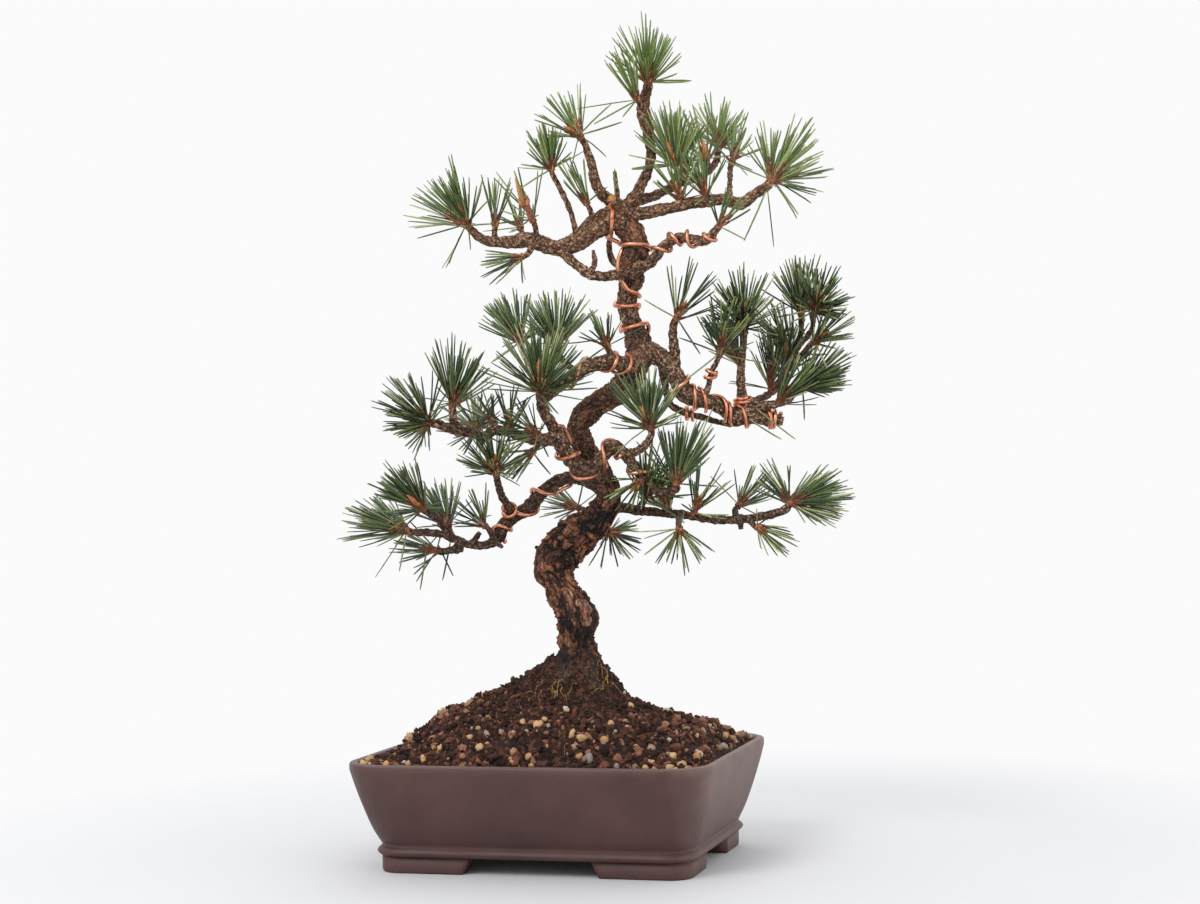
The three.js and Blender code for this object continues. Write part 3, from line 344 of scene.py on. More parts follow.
# Painted highlight and wear: the rim's rounded top is mixed towards a lighter brown.
rim_wear_and_highlight = between(sides["Z"], *RIM_WEAR_AND_HIGHLIGHT)
rim_wear_and_highlight = worked("MULTIPLY", rim_wear_and_highlight, between(smear, 0.3, 0.6, 0.35, 1.0))
body = ramp(
    between(firing, *NOISE_SPAN),
    (0.0, (68, 45, 43)), (0.5, (75, 50, 48)), (1.0, (82, 56, 53)),
)
body = tinted(body, grain, (0.45, 0.7), (0.0, 0.22), (98, 76, 71))
body = tinted(body, speck, (0.0, 0.14), (0.5, 0.0), (44, 31, 28))
body = mixed(worked("MULTIPLY", dust_and_reflection, 0.5), body, (156, 135, 126))
body = mixed(worked("MULTIPLY", rim_wear_and_highlight, 0.5), body, (122, 100, 95))
clay_normal = raised(grain, 0.0002, 0.6)
clay_normal = raised(noise(place, 0.012, 4.0), 0.0009, 0.5, clay_normal)
coat(clay, Base_Color=body, Normal=clay_normal, Roughness=between(smear, *NOISE_SPAN, 0.42, 0.62))

outside = np.vstack([
    smooth_curve(BELT, POT_SAMPLES["belt"])[0], smooth_curve(WALL, POT_SAMPLES["wall"])[0][1:],
    np.array(RIM[1:], float), smooth_curve(HOLLOW, POT_SAMPLES["hollow"])[0],
])
pot_points, pot_faces = closed_tube(stacked(outside))
pot = add_piece("pot_clay", [(pot_points, pot_faces, clay, {})], ["pot"])


def turns(sides):
    """Angles evenly round a circle."""
    return 2 * math.pi * np.arange(sides) / sides


def bored(piece, x, y, radius):
    """Cuts a round upright hole through a piece, from under the floor to above it."""
    turn = turns(HOLE_SIDES)
    ring = np.stack([x + radius * np.cos(turn), y + radius * np.sin(turn)], axis=1)
    rings = np.array([np.column_stack([ring, np.full(len(ring), z)]) for z in DRILLED])
    points, faces = closed_tube(rings)
    drill = add_piece("drill", [(points, faces, clay, {})])
    cut = piece.modifiers.new("hole", "BOOLEAN")
    cut.object = drill
    cut.operation = "DIFFERENCE"
    cut.solver = "EXACT"
    bpy.context.view_layer.update()
    finished = piece.evaluated_get(bpy.context.evaluated_depsgraph_get())
    carved = bpy.data.meshes.new_from_object(finished)
    piece.modifiers.remove(cut)
    piece.data = carved
    bpy.data.objects.remove(drill)


for side in (-1, 1):
    bored(pot, side * DRAIN_HOLES["x"], 0, DRAIN_HOLES["radius"])
    bored(pot, side * ANCHOR_HOLES["x"], ANCHOR_HOLES["y"], ANCHOR_HOLES["radius"])
feet = [(*foot(x, y), clay, {}) for x in (-1, 1) for y in (-1, 1)]
add_piece("pot_feet", feet, ["pot"])

# Drain mesh: a square of moulded plastic net over each drainage hole, which keeps the soil in.
# The two CAD nodes have its true shape, so they only get the plastic's finish.
def weathered(name, wear, span, stops, gloss, bump, fine=None, **sockets):
    """A material that one noise weathers: its size, detail and roughness are the wear's.

    The colour runs through the stops while the noise crosses the span, and the roughness between
    the gloss's two. The surface is bumped to a depth by the same noise, or by a finer one.
    """
    material = new_material(name, **sockets)
    place = object_place(material)
    worn = noise(place, *wear)
    bumps = noise(place, *fine) if fine else worn
    coat(
        material, Base_Color=ramp(between(worn, *span), *stops),
        Normal=raised(bumps, *bump),
    )
    if gloss:
        coat(material, Roughness=between(worn, *NOISE_SPAN, *gloss))
    return material


plastic = weathered(
    "moulded_black_plastic", (0.004, 6.0, 0.65), (0.5, 0.75), [(0.0, (32, 35, 38)), (1.0, (78, 72, 64))],
    (0.35, 0.7), (0.00012, 0.6), (0.0009, 3.0), Specular_IOR_Level=0.5,
)
for name in ("drain_mesh_left", "drain_mesh_right"):
    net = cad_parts[name]
    net.data.materials.clear()
    net.data.materials.append(plastic)

# Anchor wire: a thin dark steel wire that goes up through two holes in the floor and holds the
# tree's roots. Its bent middle hangs under the pot, between the front feet.
ANCHOR_ROUTE = [
    [-12, -34, 25], [-12, -34, 14], [-10.8, -34, 7], [0, -34, 5], [10.8, -34, 7], [12, -34, 14],
    [12, -34, 25],
]
ANCHOR_RADIUS = 0.8
WIRE_STEPS = {"along": 6, "round": 12}
ASKEW = [0.31, 0.17, 0.93]


def unit(vectors):
    """Vectors of length one."""
    return vectors / np.linalg.norm(vectors, axis=-1, keepdims=True)


def carried_sides(places):
    """Two directions square to a path at each of its places. The first is carried along the path,
    and turns only as much as the path bends."""
    tangents = unit(np.gradient(places, axis=0))
    side = np.cross(tangents[0], ASKEW)
    sides = np.empty_like(places)
    for ring, tangent in enumerate(tangents):
        side = unit(side - tangent * side.dot(tangent))
        sides[ring] = side
    return sides, np.cross(tangents, sides)


def spokes(side, other, turn):
    """Directions at the turns round a path: the turn's cosine of one side and sine of the other."""
    return side[..., None, :] * np.cos(turn)[:, None] + other[..., None, :] * np.sin(turn)[:, None]


def wire_tube(route, radius, metal):
    """A round wire's part, through a route's places: a circle carried along its smooth curve."""
    places, _ = smooth_curve(route, WIRE_STEPS["along"])
    arms = spokes(*carried_sides(places), turns(WIRE_STEPS["round"]))
    return (*closed_tube(places[:, None] + arms * radius), metal, {})


steel = weathered(
    "dark_annealed_steel", (0.003, 5.0), (0.4, 0.65), [(0.0, (62, 56, 52)), (1.0, (104, 74, 54))],
    (0.35, 0.7), (0.00006, 0.6), (0.0006,), Metallic=1.0,
)
anchor = wire_tube(ANCHOR_ROUTE, ANCHOR_RADIUS, steel)
add_piece("wire_anchor", [anchor], ["anchor_wire"])

# Soil: damp, crumbly brown peat, heaped by hand from the pot's rim up to the trunk, and higher on
# the trunk's left. Pale grit shows near the front rim, and fine roots near the trunk.
FRONT_TURN = math.radians(16.7)
EYE = {"u": 31, "w": 268, "distance": 1560}
STOREY = {"spread": 1.6, "turn": 0.25, "height": 190, "level": 320}
TRUNK_FOOT = [13.5, 126, 0]
SEAT_GAP = 0.35
SOIL_EDGE = 71
SOIL_HALF = np.array([117, 92]) - SEAT_GAP
SOIL_CORNER = 24
SOIL_STEPS = {"per_corner": 24, "per_side": 70}
MOUND = np.array([
    [0, 66, 60], [0.14, 65, 57], [0.19, 61, 48], [0.26, 52, 36], [0.36, 46, 29], [0.49, 38, 23],
    [0.6, 31.5, 18.5], [0.7, 26, 15.5], [0.8, 17.5, 12], [0.9, 8.5, 7], [1, 1, 1],
])
MOUND_REACH = {"x": 138, "y": 102}
SOIL_SHORE = 0.16
SOIL_RINGS = [(1, 0.93, 12), (0.92, 0.08, 105)]

# Crumbs pressed into the surface: their size, their height and a seed.
CRUMB_DOMES = [(5.4, 2.7, 21), (2.8, 1.8, 31), (1.5, 0.9, 41)]
CRUMB_SWELL = {"size": 9, "height": 1.3, "seed": 11}


def spot(points):
    """Places in the pot's frame of points that the front view shows at u and w, with a depth y.

    Storeys of limbs reach forward on one side and back on the other, and a deeper point is moved
    out from the eye's axis so that the front view still shows it at the same u and w.
    """
    u, w, y = np.moveaxis(np.asarray(points, float)[..., :3], -1, 0)
    storey = np.cos(2 * math.pi * (w - STOREY["level"]) / STOREY["height"])
    depth = STOREY["spread"] * y + STOREY["turn"] * (u - EYE["u"]) * storey
    spread = 1 + depth / EYE["distance"]
    across = EYE["u"] + (u - EYE["u"]) * spread
    up = EYE["w"] + (w - EYE["w"]) * spread
    turn_cos, turn_sin = math.cos(FRONT_TURN), math.sin(FRONT_TURN)
    x = across * turn_cos - depth * turn_sin
    return np.stack([x, across * turn_sin + depth * turn_cos, up], axis=-1)


foot_centre = spot(TRUNK_FOOT)[:2]


def scattered(cell, seed):
    """A repeatable random number from 0 to 1 for each whole-number cell."""
    cell = cell.astype(np.int64)
    mixed_up = cell[..., 0] * 73856093 ^ cell[..., 1] * 19349663 ^ cell[..., 2] * 83492791
    mixed_up = (mixed_up ^ (seed * 2654435761)) & 0xFFFFFFFF
    for _ in range(2):
        mixed_up = ((mixed_up ^ (mixed_up >> 15)) * 2246822519) & 0xFFFFFFFF
        mixed_up = ((mixed_up ^ (mixed_up >> 13)) * 3266489917) & 0xFFFFFFFF
    return (mixed_up ^ (mixed_up >> 16)) / 0xFFFFFFFF


def clumps(places, size, seed):
    """Distances to the nearest and second nearest of points strewn one in each cell of a grid, as
    shares of the cell's size, the nearest one's own random number, and the way up from it."""
    spots = places / size
    home = np.floor(spots)
    nearest = np.full(len(places), 9.0)
    second = np.full(len(places), 9.0)
    owner = np.zeros(len(places))
    rise = np.zeros(len(places))
    for shift in np.ndindex(3, 3, 3):
        cell = home + np.array(shift) - 1
        strewn = cell + np.stack([scattered(cell, seed + axis) for axis in range(3)], axis=1)
        far = np.linalg.norm(strewn - spots, axis=1)
        closer = far < nearest
        second = np.where(closer, nearest, np.minimum(second, far))
        owner = np.where(closer, scattered(cell, seed + 3), owner)
        rise = np.where(closer, (spots - strewn)[:, 2], rise)
        nearest = np.where(closer, far, nearest)
    return nearest, second, owner, rise


def swell(places, size, seed):
    """Smooth random bumpiness from -1 to 1: numbers on a grid's corners, blended between them."""
    spots = places / size
    home = np.floor(spots)
    part = spots - home
    part = part * part * (3 - 2 * part)
    total = np.zeros(len(places))
    for corner in np.ndindex(2, 2, 2):
        share = np.prod(np.where(np.array(corner) == 1, part, 1 - part), axis=1)
        total += share * scattered(home + np.array(corner), seed)
    return total * 2 - 1


def mound_height(places):
    """Height of the mound at places x, y: the table's height for the distance from the trunk as a
    share of the mound's reach, blended from left to right, and brought down to the edge."""
    ray = places - foot_centre
    direction = np.arctan2(ray[:, 1], ray[:, 0])
    far = np.hypot(ray[:, 0] / MOUND_REACH["x"], ray[:, 1] / MOUND_REACH["y"])
    left = np.interp(far, MOUND[:, 0], MOUND[:, 1], right=0)
    right = np.interp(far, MOUND[:, 0], MOUND[:, 2], right=0)
    inside = np.clip((SOIL_HALF - np.abs(places)) / SOIL_HALF, 0, 1).min(1)
    shore = np.minimum(1, inside / SOIL_SHORE)
    lean = np.cos(direction - FRONT_TURN)
    return SOIL_EDGE + (left + (right - left) * (1 + lean) / 2) * shore


def crumb_relief(places):
    """Height added by crumbs of three sizes: each is a low dome round a strewn point."""
    flat = np.column_stack([places, np.zeros(len(places))])
    total = CRUMB_SWELL["height"] * swell(flat, CRUMB_SWELL["size"], CRUMB_SWELL["seed"])
    for size, height, seed in CRUMB_DOMES:
        nearest, _, owner, _ = clumps(flat, size, seed)
        total += height * (0.4 + owner) * (np.clip(1 - nearest**2 * 1.6, 0, 1) - 0.45)
    return total


def soil_surface():
    """The mound: rays from the trunk to the pot's wall, at even shares, then down the wall."""
    edge = rounded_ring(*SOIL_HALF, SOIL_CORNER, **SOIL_STEPS)
    shares = np.concatenate([np.linspace(*run) for run in SOIL_RINGS])[:, None, None]
    flat = foot_centre + (edge - foot_centre)[None] * shares
    height = mound_height(flat.reshape(-1, 2)) + crumb_relief(flat.reshape(-1, 2))
    top = np.concatenate([flat, height.reshape(flat.shape[0], -1, 1)], axis=2)
    walls = []
    for level, half_length, half_width, corner in HOLLOW[:1:-1]:
        sizes = [half_length - SEAT_GAP, half_width - SEAT_GAP, corner - SEAT_GAP]
        ring = rounded_ring(*sizes, **SOIL_STEPS)
        walls.append(np.column_stack([ring, np.full(len(ring), level + SEAT_GAP)]))
    return closed_tube(np.concatenate([np.array(walls), top]))


peat = new_material("damp_brown_peat", Specular_IOR_Level=0.25)
place = object_place(peat)
patch = noise(place, 0.018, 5.0, 0.6)
crumb = cells(place, 0.0024, "Color")
fine = noise(place, 0.0009, 4.0, 0.7)
crumb_tone = put("ShaderNodeSeparateXYZ", {0: crumb}).outputs["X"]
peat_colour = ramp(
    between(patch, *NOISE_SPAN),
    (0.0, (28, 17, 14)), (0.5, (44, 28, 22)), (1.0, (68, 43, 32)),
)
peat_colour = tinted(peat_colour, crumb_tone, (0.6, 0.95), (0.0, 0.6), (112, 72, 56))
peat_colour = tinted(peat_colour, crumb_tone, (0.0, 0.35), (0.7, 0.0), (22, 14, 12))
peat_colour = tinted(peat_colour, fine, (0.52, 0.72), (0.0, 0.4), (96, 64, 48))
peat_normal = raised(fine, 0.0011, 0.8)
peat_normal = raised(cells(place, 0.0024), 0.0008, 0.6, peat_normal)
coat(peat, Base_Color=peat_colour, Normal=peat_normal, Roughness=between(fine, *NOISE_SPAN, 0.8, 1.0))
add_piece("soil_mound", [(*soil_surface(), peat, {})], ["soil"])

# Crumbs: loose lumps of the same peat, strewn all over the mound. They are fine near the trunk,
# where the hand pressed them in, and coarser further out.
ROUNDEST = 1.15
CRUMBS = {"count": 5200, "least": 0.8, "more": 2.6, "power": 2.2, "lifted": 0.25, "rough": 0.38}
FINE_CRUMBS = {"reach": 70, "least": 0.25, "darkest": 0.45}
STREWN_HALF = np.array([114, 89])
draw = np.random.default_rng(2718)


def turned_at_random(count):
    """Random turns in space as matrices, from random quaternions."""
    q = draw.normal(size=(count, 4))
    w, x, y, z = unit(q).T
    rows = [
        [1 - 2 * (y * y + z * z), 2 * (x * y - z * w), 2 * (x * z + y * w)],
        [2 * (x * y + z * w), 1 - 2 * (x * x + z * z), 2 * (y * z - x * w)],
        [2 * (x * z - y * w), 2 * (y * z + x * w), 1 - 2 * (x * x + y * y)],
    ]
    return np.moveaxis(np.array(rows), 2, 0)


def for_each(count, each, *faces):
    """Arrays of one small thing's faces, repeated for a count of things of so many points each."""
    start = np.arange(count)[:, None, None] * each
    return [(part[None] + start).reshape(-1, part.shape[1]) for part in faces]


def lumps(places, sizes, rough, flattest=0.35, rings=3, sides=6):
    """Small lumps: balls of a few rings whose corners stand out by a random share, squashed and
    turned at random. Gives points, faces and a random tone for each lump's points."""
    count = len(places)
    rise = (np.arange(rings) + 1) * math.pi / (rings + 1)
    turn = turns(sides)
    ring_points = np.stack([
        np.sin(rise)[:, None] * np.cos(turn), np.sin(rise)[:, None] * np.sin(turn),
        np.broadcast_to(-np.cos(rise)[:, None], (rings, sides)),
    ], axis=-1).reshape(-1, 3)
    ball = np.vstack([ring_points, [0, 0, -1], [0, 0, 1]])
    out = 1 + rough * (draw.random((count, len(ball), 1)) * 2 - 1)
    squash = flattest + (ROUNDEST - flattest) * draw.random((count, 1, 3))
    bodies = np.einsum("nij,npj->npi", turned_at_random(count), ball[None] * out * squash)
    points = places[:, None] + bodies * sizes[:, None, None]
    faces = for_each(count, len(ball), *tube_faces(rings, sides))
    return points.reshape(-1, 3), faces, np.repeat(draw.random(count), len(ball))


def strewn_on_mound(count, keep=None):
    """Random places on the mound, or those that a rule keeps, standing on its crumbs."""
    flat = (draw.random((count, 2)) * 2 - 1) * STREWN_HALF
    if keep is not None:
        flat = flat[keep(flat)]
    return np.column_stack([flat, mound_height(flat) + crumb_relief(flat)])


def carried(material, name, field="Fac"):
    """A value that the mesh's points carry."""
    made = material.node_tree.nodes.new("ShaderNodeAttribute")
    made.attribute_name = name
    return made.outputs[field]


def mottled(name, value, stops, wear, span, share, tint, bump, gloss, **sockets):
    """A material whose colour runs through the stops with a value that the points carry.

    One fine noise of the wear's size, detail and roughness lays a tint on it up to a share, bumps
    it, and takes its roughness from the gloss's first value to its second.
    """
    material = new_material(name, **sockets)
    fine = noise(object_place(material), *wear)
    colour = ramp(carried(material, value), *stops)
    coat(
        material, Base_Color=tinted(colour, fine, span, (0.0, share), tint),
        Normal=raised(fine, *bump), Roughness=between(fine, *NOISE_SPAN, *gloss),
    )
    return material


crumbs = mottled(
    "loose_peat_crumbs", "tone",
    [(0.0, (25, 15, 13)), (0.35, (60, 37, 29)), (0.75, (110, 69, 52)), (1.0, (168, 120, 95))],
    (0.0008, 4.0, 0.7), (0.45, 0.7), 0.5, (30, 22, 18), (0.0006, 0.8), (0.8, 1.0),
    Specular_IOR_Level=0.25,
)
crumb_spots = strewn_on_mound(CRUMBS["count"])
from_trunk = np.hypot(*(crumb_spots[:, :2] - foot_centre).T) / FINE_CRUMBS["reach"]
from_trunk = np.clip(from_trunk, FINE_CRUMBS["least"], 1)
crumb_sizes = CRUMBS["more"] * from_trunk * draw.random(len(crumb_spots)) ** CRUMBS["power"]
crumb_sizes += CRUMBS["least"]
crumb_spots[:, 2] += crumb_sizes * CRUMBS["lifted"]
points, faces, tones = lumps(crumb_spots, crumb_sizes, CRUMBS["rough"])
light = FINE_CRUMBS["darkest"] + (1 - FINE_CRUMBS["darkest"]) * from_trunk
tones = tones * np.repeat(light, len(tones) // len(crumb_spots))
add_piece("soil_crumbs", [(points, faces, crumbs, {"tone": tones})], smooth=False)

# Grit: small worn river stones of buff, orange and grey, put on the soil near the pot's rim to
# hold it down. A few lie further in.
GRIT = {"count": 1000, "least": 1.2, "more": 2.5, "power": 1.4, "lifted": 0.3}
GRIT_FORM = {"rough": 0.24, "flattest": 0.6, "rings": 4, "sides": 7}
NEAR_RIM = {"share": 0.8, "reach": 17, "elsewhere": 0.012}
grit = mottled(
    "river_grit", "tone",
    [(0.0, (112, 94, 80)), (0.2, (168, 132, 92)), (0.45, (196, 160, 116)),
        (0.65, (176, 122, 74)), (0.8, (130, 122, 118)), (1.0, (198, 180, 152))],
    (0.0015, 5.0, 0.65), (0.5, 0.72), 0.6, (104, 84, 66), (0.0005, 0.7), (0.5, 0.85),
    Specular_IOR_Level=0.4,
)


def near_rim(flat):
    """Keeps a place more often the nearer it is to the pot's rim."""
    rim = (STREWN_HALF - np.abs(flat)).min(1)
    share = NEAR_RIM["share"] * np.exp(-rim / NEAR_RIM["reach"]) + NEAR_RIM["elsewhere"]
    return draw.random(len(flat)) < share


grit_spots = strewn_on_mound(GRIT["count"], near_rim)
grit_sizes = GRIT["least"] + GRIT["more"] * draw.random(len(grit_spots)) ** GRIT["power"]
grit_spots[:, 2] += grit_sizes * GRIT["lifted"]
points, faces, tones = lumps(grit_spots, grit_sizes, **GRIT_FORM)
add_piece("soil_grit", [(points, faces, grit, {"tone": tones})])

# Fine roots and fibres: pale root hairs that stand out of the soil in tufts near the trunk, and
# peat fibres that lie all over the mound.
ROOT_TUFTS = [
    [-17, 112, -14], [-6, 122, -15], [4, 123, -16], [28, 125, -12], [31, 118, -14], [10, 122, 18],
]
ROOT_HAIRS = {"count": 30, "strewn": 2.5, "radius": 0.38, "arch": 0.2}
PEAT_FIBRES = {"count": 120, "tried": 150, "from_trunk": 22, "radius": 0.25, "arch": 0.1, "tone": 0.9}
FIBRE_LENGTH = {"least": 5, "more": 9}
FIBRE_RINGS = 9
FIBRE_LIFT = 0.3
RANDOM_TURN = 6.3


def level_ways(count):
    """Random level directions, as x and y."""
    heading = draw.random(count) * 2 * math.pi
    return np.stack([np.cos(heading), np.sin(heading)], axis=1)


def fibres(starts, ways, radius, arch):
    """Fine roots: three-sided threads whose places curl by two slow waves and follow the mound."""
    lengths = FIBRE_LENGTH["least"] + FIBRE_LENGTH["more"] * draw.random(len(starts))
    count, rings = len(starts), FIBRE_RINGS
    share = np.linspace(0, 1, rings)[None, :, None]
    across = np.stack([-ways[:, 1], ways[:, 0]], axis=1)
    phase = draw.random((count, 1, 1)) * RANDOM_TURN
    curl = np.sin(share * 5 + phase) * 0.12 + np.sin(share * 11 + phase * 2) * 0.05
    flat = starts[:, None, :2] + (ways[:, None] * share + across[:, None] * curl) * lengths[:, None, None]
    ground = mound_height(flat.reshape(-1, 2)) + crumb_relief(flat.reshape(-1, 2))
    rise = np.sin(share * math.pi) * arch * lengths[:, None, None]
    middle = np.concatenate([flat, ground.reshape(count, rings, 1) + FIBRE_LIFT + rise], axis=2)
    wide = radius * (1.1 - share)
    arms = spokes(np.column_stack([across, np.zeros(count)]), np.array([[0.0, 0.0, 1.0]]), turns(3))
    points = middle[:, :, None] + arms[:, None] * wide[..., None]
    each = rings * 3
    ends = np.array([[2, 1, 0], [each - 3, each - 2, each - 1]])
    return points.reshape(-1, 3), for_each(count, each, grid_faces(rings, 3), ends)


root_hair = weathered(
    "fine_pale_roots", (0.003, 4.0), (0.35, 0.65), [(0.0, (190, 150, 84)), (1.0, (124, 90, 54))],
    None, (0.0002, 0.5), (0.0005,), Roughness=0.7,
)
tuft = spot(ROOT_TUFTS)[np.arange(ROOT_HAIRS["count"]) % len(ROOT_TUFTS)]
ways = level_ways(ROOT_HAIRS["count"])
starts = tuft + draw.normal(size=tuft.shape) * ROOT_HAIRS["strewn"]
points, faces = fibres(starts, ways, ROOT_HAIRS["radius"], ROOT_HAIRS["arch"])
add_piece("soil_roots", [(points, faces, root_hair, {})])


def off_trunk(flat):
    """Keeps a place that is clear of the trunk's foot."""
    return np.hypot(*(flat - foot_centre).T) > PEAT_FIBRES["from_trunk"]


ways = level_ways(PEAT_FIBRES["count"])
starts = strewn_on_mound(PEAT_FIBRES["tried"], off_trunk)[:len(ways)]
points, faces = fibres(starts, ways[:len(starts)], PEAT_FIBRES["radius"], PEAT_FIBRES["arch"])
tones = np.full(len(points), PEAT_FIBRES["tone"])
add_piece("soil_fibres", [(points, faces, crumbs, {"tone": tones})])

